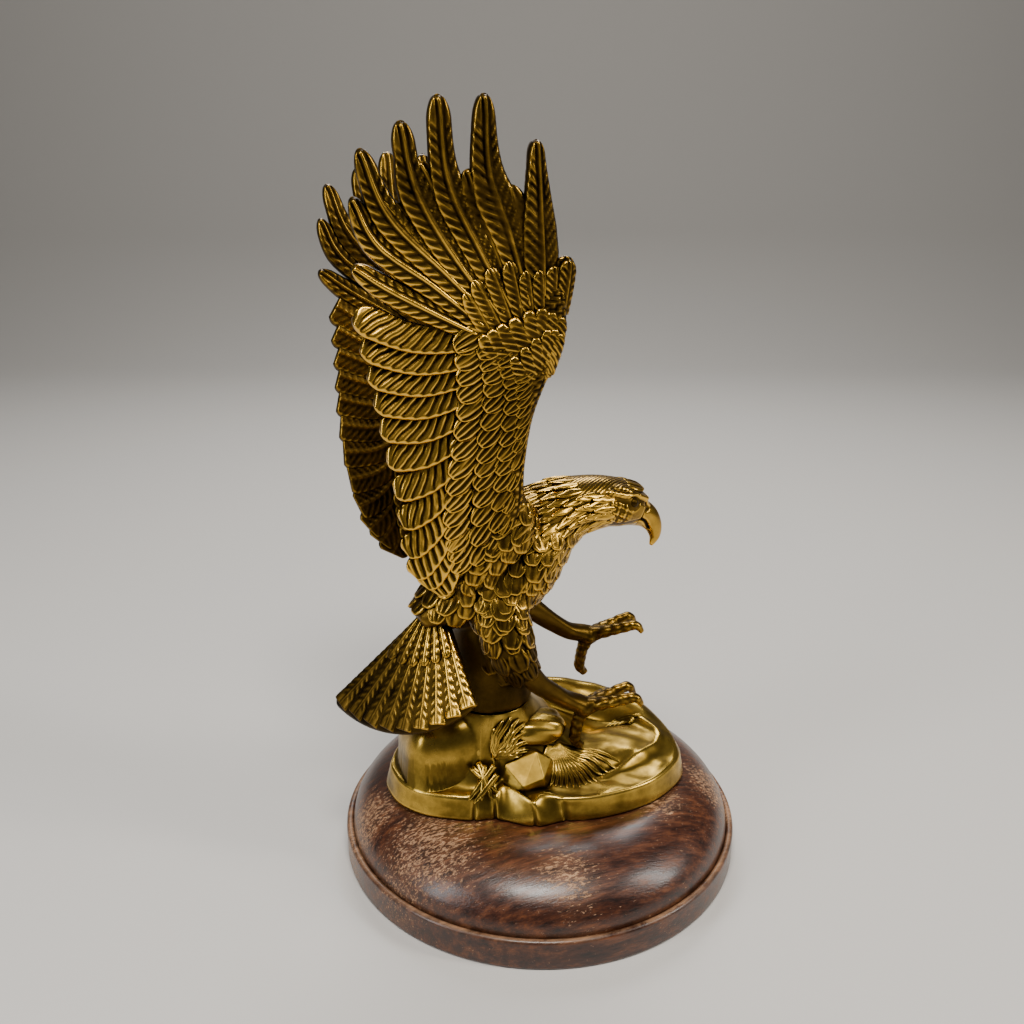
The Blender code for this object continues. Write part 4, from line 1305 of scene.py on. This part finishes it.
# Toe middles and claw tips from the ankle, as (forward, up or down, sideways, half width)
TOES = (
    ((11, 5, -8, 2.7), (20, 8, -12, 2.5), (24, 4, -13, 1.3)),
    ((12, 4, 0, 2.8), (22, 7, 0, 2.5), (26, 2, 0, 1.3)),
    ((11, -1, 8, 2.7), (18, -2, 12, 2.4), (22, -6, 12, 1.3)),
    ((-3, -8, 0, 2.9), (-4, -17, 1, 2.8), (-1, -22, 1, 2.0)),
)
TOE_ROOT_HALF = 3.4
SCUTES = 7
SCUTE_HEIGHT = 0.2


def foot_shapes(ankle):
    x, y, z = ankle
    shapes = [tube(((x - 4, y, z + 2, 3.6, 3.8), (x, y, z, 5.4, 5.2), (x + 4, y, z - 1, 3.6, 3.4)), 12, 16)]

    def scutes(share, turn):
        uneven = share * math.pi * SCUTES + 0.5 * np.sin(2 * turn + 9 * share)
        bumps = SCUTE_HEIGHT * np.abs(np.sin(uneven)) * np.clip(1.2 - share, 0, 1)
        return 0.94 + bumps + 0.05 * np.sin(3 * turn + 14 * share)

    for points in TOES:
        stations = [(*ankle, TOE_ROOT_HALF, TOE_ROOT_HALF)]
        for ahead, rise, side, half in points:
            stations.append((ankle[0] + ahead, ankle[1] + side, ankle[2] + rise, half, half))
        shapes.append(tube(stations, 60, 16, swell=scutes))
    return shapes


def tendons(share, turn):
    return 1 + 0.06 * np.sin(3 * turn + 5 * share) + 0.04 * np.sin(17 * share + turn) * share


def legs():
    shapes = []
    for shank in (NEAR_SHANK, FAR_SHANK):
        shapes.append(tube(shank, 40, 24, swell=tendons))
        shapes += foot_shapes(shank[-1][:3])
    skin = fused("leg_skin", joined(shapes), LEG_VOXEL * UNIT, 2)
    set_carving(skin, LEG_CLEAN)
    piece("eagle_legs", [skin], ANTIQUE, "eagle", LEG_WEAR)


# Tail

TAIL_ROOT = (-50, -1, 54)
TAIL_TURN = math.radians(220)
TAIL_SLOPE = math.radians(60)
TAIL_FAR_ANGLE = math.radians(-31)
TAIL_NEAR_ANGLE = math.radians(35)
TAIL_FAR_LENGTH = 72.0
TAIL_NEAR_LENGTH = 54.0
TAIL_FEATHERS = 9
TAIL_OVERLAP = 1.08
TAIL_DEPTH = 2.5
TAIL_PLATE_DEPTH = 2.15
TAIL_PLATE_MARGIN = 0.06
TAIL_PLATE_CLEAN = 0.3
TAIL_FEATHER_REACH = 0.98
TAIL_COVERTS = 6
TAIL_COVERT_REACH = 0.52
TAIL_COVERT_DEPTH = 4.2
TAIL_START = 2.0
TAIL_COVERT_START = -6.0
TAIL_BOW = 2.0
TAIL_BOW_RATE = 2.2
TAIL_SIZES = {
    "Steps Along": 72,
    "Steps Around": 33,
    "Lip": 0.0,
    "Shaft Place": 0.0,
    "Shaft Half": 0.0003,
    "Shaft Height": 0.00008,
    "Barb Pitch": 0.0036,
    "Barb Slope": 0.9,
    "Barb Depth": 0.0006,
    "Barb Low": -0.95,
    "Barb High": 0.95,
    "Tip Start": 0.96,
    "Tip Blunt": 0.86,
    "Unevenness": 0.0003,
}
TAIL_COVERT_SIZES = {
    **TAIL_SIZES,
    "Steps Along": 50,
    "Barb Pitch": 0.0034,
    "Barb Slope": 0.5,
    "Barb Depth": 0.0005,
    "Tip Start": 0.80,
    "Tip Blunt": 0.0,
}


def tail_wear_and_shade(x, y, z):
    """The tail's near right side is rubbed; its left side is painted dark, a painted shade where the fan
    turns away from the light.
    """
    return 0.40 + 0.55 / (1 + np.exp(-(x + 66) / 4))


def tail_matrix():
    along = Vector(
        (
            math.cos(TAIL_TURN) * math.cos(TAIL_SLOPE),
            math.sin(TAIL_TURN) * math.cos(TAIL_SLOPE),
            -math.sin(TAIL_SLOPE),
        )
    )
    across = Vector((0, 0, 1)).cross(along).normalized()
    turn = Matrix((along, across, along.cross(across))).transposed().to_4x4()
    return np.array(Matrix.Translation(TAIL_ROOT) @ turn)


def tail_feather(share, start, reach_share, count, depth):
    """One feather of a row of this many, which meets its neighbours all along."""
    matrix = tail_matrix()
    angle = TAIL_FAR_ANGLE + (TAIL_NEAR_ANGLE - TAIL_FAR_ANGLE) * share
    length = (TAIL_FAR_LENGTH + (TAIL_NEAR_LENGTH - TAIL_FAR_LENGTH) * share) * reach_share
    reach = np.linspace(start, length, 8)
    bow = TAIL_BOW * (math.cos(angle * TAIL_BOW_RATE) - 1)
    line = np.stack([reach * math.cos(angle), reach * math.sin(angle), np.full(8, bow)], axis=1)
    parted = (TAIL_NEAR_ANGLE - TAIL_FAR_ANGLE) / (count - 1)
    halves = 0.5 * TAIL_OVERLAP * parted * np.maximum(reach, 0.15 * length)
    return feather(line @ matrix[:3, :3].T + matrix[:3, 3], matrix[:3, 2], halves, depth)


def tail_row(inset, start, reach_share, count, depth):
    """A row of the fan, its outer feathers' middles this share in from the fan's sides."""
    shares = np.linspace(inset, 1 - inset, count)
    return [tail_feather(share, start, reach_share, count, depth) for share in shares]


def tail_plate():
    """The thin cast fan between the tail's feathers, with a round rim."""
    matrix = tail_matrix()
    rings = []
    for share in np.linspace(-TAIL_PLATE_MARGIN, 1 + TAIL_PLATE_MARGIN, 70):
        angle = TAIL_FAR_ANGLE + (TAIL_NEAR_ANGLE - TAIL_FAR_ANGLE) * share
        length = TAIL_FAR_LENGTH + (TAIL_NEAR_LENGTH - TAIL_FAR_LENGTH) * share
        side_round = max(abs(share - 0.5) - 0.5, 0) / TAIL_PLATE_MARGIN
        reach = length * (1 - 0.06 * side_round**2) * np.linspace(0, 1, 40) ** 0.5
        half = TAIL_PLATE_DEPTH * np.sqrt(np.clip(1 - (reach / length) ** 24, 0.02, 1))
        half = half * math.sqrt(1 - 0.8 * side_round**2)
        bow = TAIL_BOW * (math.cos(angle * TAIL_BOW_RATE) - 1)
        across = np.stack([reach * math.cos(angle), reach * math.sin(angle)], axis=1)
        top = np.column_stack([across, bow + half])
        low = np.column_stack([across, bow - half])[::-1]
        rings.append(np.vstack([top, low]) @ matrix[:3, :3].T + matrix[:3, 3])
    return mesh_of("tail_plate", grid_shape(np.array(rings)))


def tail():
    feathers = tail_row(0.0, TAIL_START, TAIL_FEATHER_REACH, TAIL_FEATHERS, TAIL_DEPTH)
    inset = 0.5 / TAIL_COVERTS
    coverts = tail_row(inset, TAIL_COVERT_START, TAIL_COVERT_REACH, TAIL_COVERTS, TAIL_COVERT_DEPTH)
    plate = tail_plate()
    set_carving(plate, TAIL_PLATE_CLEAN)
    meshes = [
        plate,
        carve("tail_feathers", feathers, ANTIQUE, **TAIL_SIZES),
        carve("tail_coverts", coverts, ANTIQUE, **TAIL_COVERT_SIZES),
    ]
    piece("eagle_tail", meshes, ANTIQUE, "eagle", tail_wear_and_shade)


# Rock, in shares of its length, width and height

ROCK_OUTLINE = (
    (-0.493, 0.113),
    (-0.473, -0.072),
    (-0.398, -0.216),
    (-0.269, -0.320),
    (-0.214, -0.330),
    (-0.153, -0.392),
    (-0.085, -0.464),
    (0.003, -0.454),
    (0.085, -0.485),
    (0.200, -0.485),
    (0.330, -0.443),
    (0.466, -0.309),
    (0.500, -0.200),
    (0.498, -0.020),
    (0.446, 0.216),
    (0.323, 0.381),
    (0.139, 0.474),
    (-0.065, 0.495),
    (-0.269, 0.443),
    (-0.425, 0.299),
)
SEAT = (-26.0, -1.0, 18.5)
SKIRT_HEIGHT = 0.0115
SKIRT_LEAN = 0.0025
# How suddenly the ground rises to the seat, as (turn in degrees, power): gently at the back, late in front
RISES = ((-150, 2.6), (-90, 5.2), (-35, 5.6), (20, 3.6), (60, 1.8), (110, 1.2), (170, 1.5))
RISE_ROUNDING = 1.5
SEAT_UNEVENNESS = 0.0012
# Boulder as (x share, y share), half length and half width in the rock's heights, foot and top shares
BOULDER = (-0.290, 0.020)
BOULDER_HALVES = (0.50, 0.45)
BOULDER_FOOT = 0.26
BOULDER_TOP = 0.93
BOULDER_SQUARE = 3.4
LEDGE_STONE = ((-0.020, -0.110, 0.68), (0.32, 0.22, 0.16))
FACETED_STONE = ((-0.070, -0.250, 0.34), (0.29, 0.22, 0.25))
FACETED_STONE_SEED = 12
FACETED_STONE_CORNERS = 30
FACETED_STONE_EDGE = 0.00035
FACETED_STONE_CLEAN = 0.45
ROCK_CLEAN = 0.9
# Rim behind the pool, as (x share, y share, z share)
RIM = (
    (0.462, -0.240, 0.22),
    (0.440, -0.130, 0.34),
    (0.410, 0.090, 0.46),
    (0.335, 0.240, 0.55),
    (0.210, 0.330, 0.64),
    (0.060, 0.350, 0.72),
    (-0.090, 0.310, 0.76),
)
RIM_REACH = 0.013
POOL_RIM = (
    (0.394, -0.004),
    (0.425, -0.110),
    (0.400, -0.190),
    (0.341, -0.241),
    (0.250, -0.300),
    (0.163, -0.334),
)
POOL = (0.275, -0.120, 0.115, 0.110)
POOL_BED = 0.40
POOL_BED_REACH = 1.75
# Creases down the skirt and lobes between them, as (turn in degrees, half turn, how far it leans in metres)
SKIRT_CREASES = (-119, -103, -80, -63)
SKIRT_CREASE_HALF = 1.1
SKIRT_CREASE_DEPTH = 0.0009
SKIRT_LOBES = ((-91, 11.5, 0.0090), (-71.5, 8, 0.0040), (-111, 7.5, 0.0035))
SKIRT_BELLY = 0.0004
# The skirt's top edge is broken over its last tenth by this much, inwards and down
CREST_IN = 0.0007
CREST_DOWN = 0.0003
RISE_SOFTNESS = 14.0
OUTLINE_SOFTNESS = 5.0
FIELD_TURNS = 400
FIELD_ROWS = 100
SKIRT_ROWS = 14
FRONT_TURN = math.radians(-70)


def rock_spot(x, y, z=0.0):
    """A place given in shares of the rock, in metres."""
    return np.stack(
        np.broadcast_arrays(
            ROCK_CENTRE.x + np.asarray(x) * ROCK_LENGTH,
            ROCK_CENTRE.y + np.asarray(y) * ROCK_WIDTH,
            ROCK_LOW.z + np.asarray(z) * ROCK_HEIGHT,
        ),
        axis=-1,
    )


def rock_rim(turns):
    """The outline's distance from the seat's centre at each turn."""
    closed = list(ROCK_OUTLINE) + list(ROCK_OUTLINE[:1])
    fine = smooth_path(closed, 20 * len(ROCK_OUTLINE))
    spots = rock_spot(fine[:, 0], fine[:, 1])
    x = spots[:, 0] - SEAT[0] * UNIT
    y = spots[:, 1] - SEAT[1] * UNIT
    angles = np.arctan2(y, x)
    order = np.argsort(angles)
    table = np.stack([np.degrees(angles[order]), np.hypot(x, y)[order]], axis=1)
    return around(table, turns, OUTLINE_SOFTNESS)


def bump(turns, middle, half):
    """One at a turn and nothing a half turn away, all in degrees."""
    off = (np.degrees(turns) - middle + 180) % 360 - 180
    return np.clip(1 - (off / half) ** 2, 0, 1)


def around(table, turns, softness):
    """Values between (turn in degrees, value) round a circle, without corners."""
    steady = np.arange(-180.0, 180.0, 2.0)
    values = np.interp(steady, *np.array(table).T, period=360)
    off = (np.degrees(turns)[:, None] - steady[None, :] + 180) % 360 - 180
    weights = np.exp(-((off / softness) ** 2))
    return (weights * values).sum(axis=1) / weights.sum(axis=1)


def smooth_max(a, b, soft):
    return 0.5 * (a + b + np.sqrt((a - b) ** 2 + soft * soft))


def hand_worked(x, y, scale):
    """Slow unevenness of a hand-finished casting, between about -1 and 1."""
    u = x / scale
    v = y / scale
    return (
        np.sin(u + 0.7 * np.sin(1.3 * v)) * np.cos(1.1 * v + 0.4)
        + 0.5 * np.sin(2.3 * u - 1.7 * v + 1.0)
        + 0.3 * np.sin(4.1 * v + 2.9 * u)
    ) / 1.6


def rock_field():
    """The rock's body: its skirt, ground, back rim, boulder and pool."""
    steady = np.linspace(-math.pi, math.pi, FIELD_TURNS, endpoint=False)
    turns = steady - 0.35 * np.sin(steady - FRONT_TURN)
    radii = rock_rim(turns)
    crease = sum(np.exp(-(((np.degrees(turns) - c) / SKIRT_CREASE_HALF) ** 2)) for c in SKIRT_CREASES)
    lobe = sum(depth * bump(turns, middle, half) for middle, half, depth in SKIRT_LOBES)
    top = SKIRT_HEIGHT + 0.25 * lobe
    powers = around(RISES, turns, RISE_SOFTNESS)
    rows = []
    for share in np.linspace(0, 1, SKIRT_ROWS):
        belly = SKIRT_BELLY * math.sin(math.pi * share) * (lobe > 0.001)
        reach = radii - SKIRT_LEAN * share - lobe * share**1.5 + belly
        reach = reach - SKIRT_CREASE_DEPTH * crease * (1 - 0.4 * share)
        reach = reach - CREST_IN * max(share - 0.9, 0) * 10
        rows.append((reach, top * share - CREST_DOWN * max(share - 0.9, 0) * 10, np.zeros_like(turns)))
    edge = radii - SKIRT_LEAN - lobe - CREST_IN
    seat_radius = SEAT[2] * UNIT
    facets = np.sin(3 * turns + 0.8) + 0.6 * np.sin(5 * turns - 0.4)
    for share in 1 - np.linspace(1, 0, FIELD_ROWS)[1:] ** 1.5:
        reach = edge * (1 - share) + seat_radius * share + SEAT_UNEVENNESS * facets * share * (1 - share) * 4
        height = top + (ROCK_HEIGHT - top) * (1 - (1 - share**powers) ** RISE_ROUNDING)
        rows.append((reach, height, np.full_like(turns, share)))
    reach = np.array([row[0] for row in rows])
    height = np.array([row[1] for row in rows])
    ground = np.array([row[2] for row in rows])
    x = SEAT[0] * UNIT + reach * np.cos(turns)
    y = SEAT[1] * UNIT + reach * np.sin(turns)

    inside = np.clip(ground / 0.06, 0, 1) * np.clip((1 - ground) / 0.05, 0, 1)
    crest = smooth_path(RIM, 60)
    spots = rock_spot(crest[:, 0], crest[:, 1], crest[:, 2])
    rim = np.zeros_like(height)
    for spot in spots:
        far = np.hypot(x - spot[0], y - spot[1]) / RIM_REACH
        rim = np.maximum(rim, (spot[2] - ROCK_LOW.z) * (1 - 0.55 * far**2))
    height = np.where(ground > 0, smooth_max(height, rim, 0.003) - 0.0003, height)
    boulder = rock_spot(*BOULDER)
    far = np.abs(x - boulder[0]) ** BOULDER_SQUARE / (BOULDER_HALVES[0] * ROCK_HEIGHT) ** BOULDER_SQUARE
    far = far + np.abs(y - boulder[1]) ** BOULDER_SQUARE / (BOULDER_HALVES[1] * ROCK_HEIGHT) ** BOULDER_SQUARE
    body = BOULDER_FOOT + (BOULDER_TOP - BOULDER_FOOT) * np.clip(1 - far, 0, 1) ** (1 / BOULDER_SQUARE)
    body = body * ROCK_HEIGHT + 0.0012 * hand_worked(x, y, 0.010)
    height = np.where((far < 1) & (ground > 0), smooth_max(height, body, 0.002) - 0.0002, height)
    middle = rock_spot(POOL[0], POOL[1])
    from_pool = np.hypot((x - middle[0]) / (POOL[2] * ROCK_LENGTH), (y - middle[1]) / (POOL[3] * ROCK_WIDTH))
    bed = POOL_BED * ROCK_HEIGHT * (1 - 0.5 * (from_pool / POOL_BED_REACH) ** 3)
    height = np.where(ground > 0, smooth_max(height, bed, 0.003) - 0.0003, height)
    pool_rim = line_distance(x, y, rock_spot(*np.array(POOL_RIM).T))
    height = height + 0.0011 * np.exp(-((pool_rim / 0.0016) ** 2)) * inside
    height = height - 0.0014 * np.exp(-(from_pool**4)) * inside
    height = height + 0.00045 * hand_worked(x, y, 0.0065) * inside
    height = height + 0.0008 * hand_worked(y, x, 0.013) * inside
    height = np.clip(height, 0, ROCK_HEIGHT)
    wobble = 0.0002 * hand_worked(turns[None, :] * 0.02, height, 0.004) * (ground == 0)
    x = x + wobble * np.cos(turns)
    y = y + wobble * np.sin(turns)
    rings = np.stack([x, y, ROCK_LOW.z + height], axis=-1)
    return mesh_of("rock_field", grid_shape(rings), scaled=False)


STONE_SQUARE = 0.75


def stone(name, shares, radii, rings, sides, uneven):
    """A stone between an egg and a box: the lower STONE_SQUARE, the squarer."""
    points, faces = ball((0, 0, 0), (1, 1, 1), rings, sides)
    points = np.sign(points) * np.abs(points) ** STONE_SQUARE
    swell = 1 + uneven * hand_worked(points[:, 0] + points[:, 2], points[:, 1], 0.4)
    points = points * swell[:, None] * np.array(radii) * ROCK_HEIGHT + rock_spot(*shares)
    return mesh_of(name, (points, faces), scaled=False)


def cut_stone(name, shares, radii):
    """A stone of flat faces between corners at random, with softened edges."""
    random = np.random.default_rng(FACETED_STONE_SEED)
    bm = bmesh.new()
    corners = unit_rows(random.normal(size=(FACETED_STONE_CORNERS, 3)))
    corners = corners * np.array(radii) * ROCK_HEIGHT + rock_spot(*shares)
    for corner in corners:
        bm.verts.new(corner)
    hull = bmesh.ops.convex_hull(bm, input=bm.verts[:])
    inner = {corner for corner in hull["geom_interior"] if isinstance(corner, bmesh.types.BMVert)}
    bmesh.ops.delete(bm, geom=list(inner), context="VERTS")
    bmesh.ops.bevel(bm, geom=bm.edges[:], offset=FACETED_STONE_EDGE, segments=2, profile=0.5, affect="EDGES")
    bmesh.ops.recalc_face_normals(bm, faces=bm.faces[:])
    mesh = bpy.data.meshes.new(name)
    bm.to_mesh(mesh)
    bm.free()
    return mesh


# Grass on the rock, in the eagle's units: blades from a root to a tip, each as (x, y, z)
TUFT_ROOT = (-29, -27, -20)
TUFT_TIPS = (
    (-33, -24, -11),
    (-30, -24, -6),
    (-25.5, -23.5, -3),
    (-21, -23.5, -1.5),
    (-16, -23.5, -3.5),
    (-12, -23, -6),
    (-8, -23, -10),
    (-7, -25, -15),
    (-10, -27, -20),
)
TUFT_BOW = (-2.0, -1.5, 2.0)
SHORT_BLADE_SHIFT = (1.5, 0, -0.5)
FAN_ROOT = (1.5, -18.5, -20.6)
FAN_TURNS = (196, 338, 19)
FAN_LENGTHS = (17.0, 17.5, 19.0, 23.0, 31.0)
FAN_BEND = 0.12
FAN_MIDDLE_DOWN = (0, 0, -6)
FAN_TIP_DOWN = (0, 0, -10)
CROSSED_BLADES = (
    ((-42, -23, -24), (-32.5, -33.5, -33)),
    ((-38.5, -22.5, -22), (-36, -35, -34.5)),
    ((-31.5, -26, -23), (-46, -32.5, -35)),
    ((-31, -29, -26), (-44, -34, -36)),
    ((-36, -24, -23), (-40.5, -34.5, -35)),
)
CROSSED_OUT = np.array((0.1, -0.7, 0.7))
ARC_MIDDLE = (45, -4, -32)
ARC_RADII = (4.0, 6.2, 8.4, 10.6)
ARC_TURNS = (20, 150)
BLADE_SIZES = {
    "Steps Along": 26,
    "Steps Around": 13,
    "Lip": 0.0,
    "Shaft Half": 0.0003,
    "Shaft Height": -0.0004,
    "Barb Pitch": 0.014,
    "Barb Depth": 0.0,
    "Tip Start": 0.25,
    "Unevenness": 0.0004,
}


def blade(skin, points, width, depth, lift):
    """A grass blade pressed on the rock along points, which give its way."""
    line = []
    faces = []
    path = smooth_path(points, 9)
    for share, point in zip(np.linspace(0, 1, 9), path):
        spot, normal = skin.nearest(point)
        line.append(spot + normal * (lift * math.sin(math.pi * (0.15 + 0.75 * share))))
        faces.append(normal)
    return feather(line, faces, 0.5 * width * np.linspace(1.0, 0.85, 9), depth)


def grass(skin):
    blades = []
    for i, tip in enumerate(TUFT_TIPS):
        root = np.array(TUFT_ROOT, float)
        middle = 0.5 * (root + np.array(tip)) + np.array(TUFT_BOW)
        blades.append(blade(skin, (root, middle, tip), 3.6, 1.1, 0.8 + 0.15 * (i % 2)))
        short = root + 0.6 * (np.array(tip) - root) + np.array(SHORT_BLADE_SHIFT)
        blades.append(blade(skin, (root, short), 3.0, 1.0, 1.3))
    first, last, count = FAN_TURNS
    lengths = np.interp(np.linspace(0, 1, count), np.linspace(0, 1, len(FAN_LENGTHS)), FAN_LENGTHS)
    for turn, length in zip(np.radians(np.linspace(first, last, count)), lengths):
        root = np.array(FAN_ROOT)
        way = np.array((math.cos(turn), math.sin(turn), 0))
        bend = np.array((-math.sin(turn), math.cos(turn), 0)) * FAN_BEND * length
        middle = root + 0.55 * length * way + bend + np.array(FAN_MIDDLE_DOWN)
        tip = root + length * way + np.array(FAN_TIP_DOWN)
        blades.append(blade(skin, (root + 3 * way, middle, tip), 3.1, 1.0, 0.35))
    for start, end in CROSSED_BLADES:
        line = smooth_path((start, 0.5 * (np.array(start) + end) + CROSSED_OUT, end), 7)
        blades.append(feather(line, unit_rows(CROSSED_OUT), 1.7, 1.2))
    middle = np.array(ARC_MIDDLE, float)
    for radius in ARC_RADII:
        path = []
        for turn in np.radians(np.linspace(*ARC_TURNS, 6)):
            path.append(middle + radius * np.array((math.cos(turn), 0.8 * math.sin(turn), 0)))
        blades.append(blade(skin, path, 1.9, 0.9, 0.5))
    return carve("grass", blades, POLISHED, **BLADE_SIZES)


def rock():
    body = rock_field()
    skin = Skin(body)
    ledge_stone = stone("ledge_stone", *LEDGE_STONE, 30, 50, 0.06)
    faceted_stone = cut_stone("faceted_stone", *FACETED_STONE)
    set_carving(body, ROCK_CLEAN)
    set_carving(ledge_stone, ROCK_CLEAN)
    set_carving(faceted_stone, FACETED_STONE_CLEAN)
    meshes = [body, ledge_stone, faceted_stone, grass(skin)]
    piece("rock_base_polished", meshes, POLISHED, "rock_base")


# Plinth

BAND_HEIGHT = 0.0137
BAND_LEDGE = 0.0035
BAND_ROUNDING = 0.0015
BEAD_HALF = 0.5 * BAND_LEDGE
BEAD_SINK = 0.0006
PLINTH_FLAT_RADIUS = 0.060
PLINTH_STEPS = 192


def plinth():
    """The turned profile, from the middle of the top down its outer side to the middle of the underside."""
    radius = PLINTH_HIGH.x
    height = PLINTH_HIGH.z
    ledge = radius - BAND_LEDGE
    points = [(0.0, height), (PLINTH_FLAT_RADIUS, height)]
    for turn in np.linspace(0, 0.5 * math.pi, 36)[1:]:
        points.append(
            (
                PLINTH_FLAT_RADIUS + (ledge - PLINTH_FLAT_RADIUS) * math.sin(turn),
                BAND_HEIGHT + (height - BAND_HEIGHT) * math.cos(turn),
            )
        )
    for turn in np.linspace(math.pi, 0, 14):
        points.append(
            (
                radius - BEAD_HALF * (1 - math.cos(turn)),
                BAND_HEIGHT - BEAD_SINK + BEAD_HALF * math.sin(turn),
            )
        )
    for turn in np.linspace(0, 0.5 * math.pi, 8):
        points.append((radius - BAND_ROUNDING * (1 - math.cos(turn)), BAND_ROUNDING * (1 - math.sin(turn))))
    points.append((0.0, 0.0))
    mesh = bpy.data.meshes.new("plinth_profile")
    mesh.from_pydata([(x, 0.0, z) for x, z in points], [(i, i + 1) for i in range(len(points) - 1)], [])
    obj = linked("plinth_profile", mesh)
    turned = obj.modifiers.new("turned", "SCREW")
    turned.steps = PLINTH_STEPS
    turned.render_steps = PLINTH_STEPS
    turned.use_merge_vertices = True
    turned.merge_threshold = 0.0001
    made = evaluated(obj)
    set_carving(made, 1.0)
    piece("turned_plinth", [made], WOOD, "wooden_plinth")


near_secondaries = (SECONDARY_TIPS, SECONDARY_WIDTH, SECONDARY_DEPTH)
far_secondaries = (FAR_SECONDARY_TIPS, FAR_SECONDARY_WIDTH, FAR_SECONDARY_DEPTH)
wing("eagle_near_wing", MIRROR, near_wing_wear_and_highlight, NEAR_WING_SIZES, near_secondaries)
wing("eagle_far_wing", far_wing_matrix(), FAR_WING_WEAR_AND_SHADE, FAR_WING_SIZES, far_secondaries)
body()
head()
legs()
tail()
plinth()
rock()


# Floor, light and camera

CAMERA_PLACE = (-0.1472, -0.4084, 0.3304)
CAMERA_PITCH = math.radians(20)
CAMERA_YAW = math.radians(18)
CAMERA_LENS = 35.51
CAMERA_SENSOR = 36.0

FLOOR_NEAR = -2.0
FLOOR_FAR = 1.1
SWEEP_RADIUS = 0.7
SWEEP_HEIGHT = 3.0
SWEEP_HALF_WIDTH = 4.0
SWEEP_STEPS = 24

# The middle of the object, at which the lights look
LIT = (0, 0, 0.17)


def floor():
    """A pale floor that curves up behind the object, square to the camera."""
    profile = [(FLOOR_NEAR, 0.0), (FLOOR_FAR, 0.0)]
    for turn in np.linspace(0, 0.5 * math.pi, SWEEP_STEPS)[1:]:
        profile.append((FLOOR_FAR + SWEEP_RADIUS * math.sin(turn), SWEEP_RADIUS * (1 - math.cos(turn))))
    profile.append((FLOOR_FAR + SWEEP_RADIUS, SWEEP_HEIGHT))
    ahead = np.array((math.sin(CAMERA_YAW), math.cos(CAMERA_YAW), 0))
    aside = np.array((ahead[1], -ahead[0], 0)) * SWEEP_HALF_WIDTH
    points = []
    for reach, rise in profile:
        middle = ahead * reach + np.array((0, 0, rise))
        points += [middle - aside, middle + aside]
    faces = [(2 * i, 2 * i + 1, 2 * i + 3, 2 * i + 2) for i in range(len(profile) - 1)]
    mesh = bpy.data.meshes.new("floor")
    mesh.from_pydata(points, [], faces)
    mesh.shade_smooth()
    obj = linked("floor", mesh)
    mesh.materials.append(material_tree("pale_floor", (0.60, 0.58, 0.55), 0.75, 0.0)[0])


def light(name, place, size, power, colour):
    data = bpy.data.lights.new(name, "AREA")
    data.shape = "RECTANGLE"
    data.size, data.size_y = size
    data.energy = power
    data.color = colour
    obj = linked(name, data)
    obj.location = place
    obj.rotation_euler = (Vector(LIT) - Vector(place)).to_track_quat("-Z", "Y").to_euler()


def studio():
    world = bpy.data.worlds.new("studio")
    bpy.context.scene.world = world
    world.use_nodes = True
    world.node_tree.nodes["Background"].inputs["Color"].default_value = (0.80, 0.80, 0.80, 1.0)
    world.node_tree.nodes["Background"].inputs["Strength"].default_value = 0.12
    light("overhead", (-0.15, -0.45, 1.15), (0.45, 0.25), 13.0, (1.0, 0.95, 0.88))
    light("right", (0.85, -0.55, 0.75), (0.15, 0.7), 7.0, (1.0, 0.96, 0.90))
    light("left", (-0.95, -0.25, 0.55), (0.2, 0.7), 4.5, (0.95, 0.97, 1.0))
    light("back", (0.25, 0.8, 0.95), (0.7, 0.3), 8.0, (1.0, 1.0, 1.0))
    data = bpy.data.cameras.new("camera")
    data.lens = CAMERA_LENS
    data.sensor_width = CAMERA_SENSOR
    data.clip_start = 0.01
    camera = linked("camera", data)
    camera.location = CAMERA_PLACE
    camera.rotation_euler = (0.5 * math.pi - CAMERA_PITCH, 0, -CAMERA_YAW)
    bpy.context.scene.camera = camera


floor()
studio()
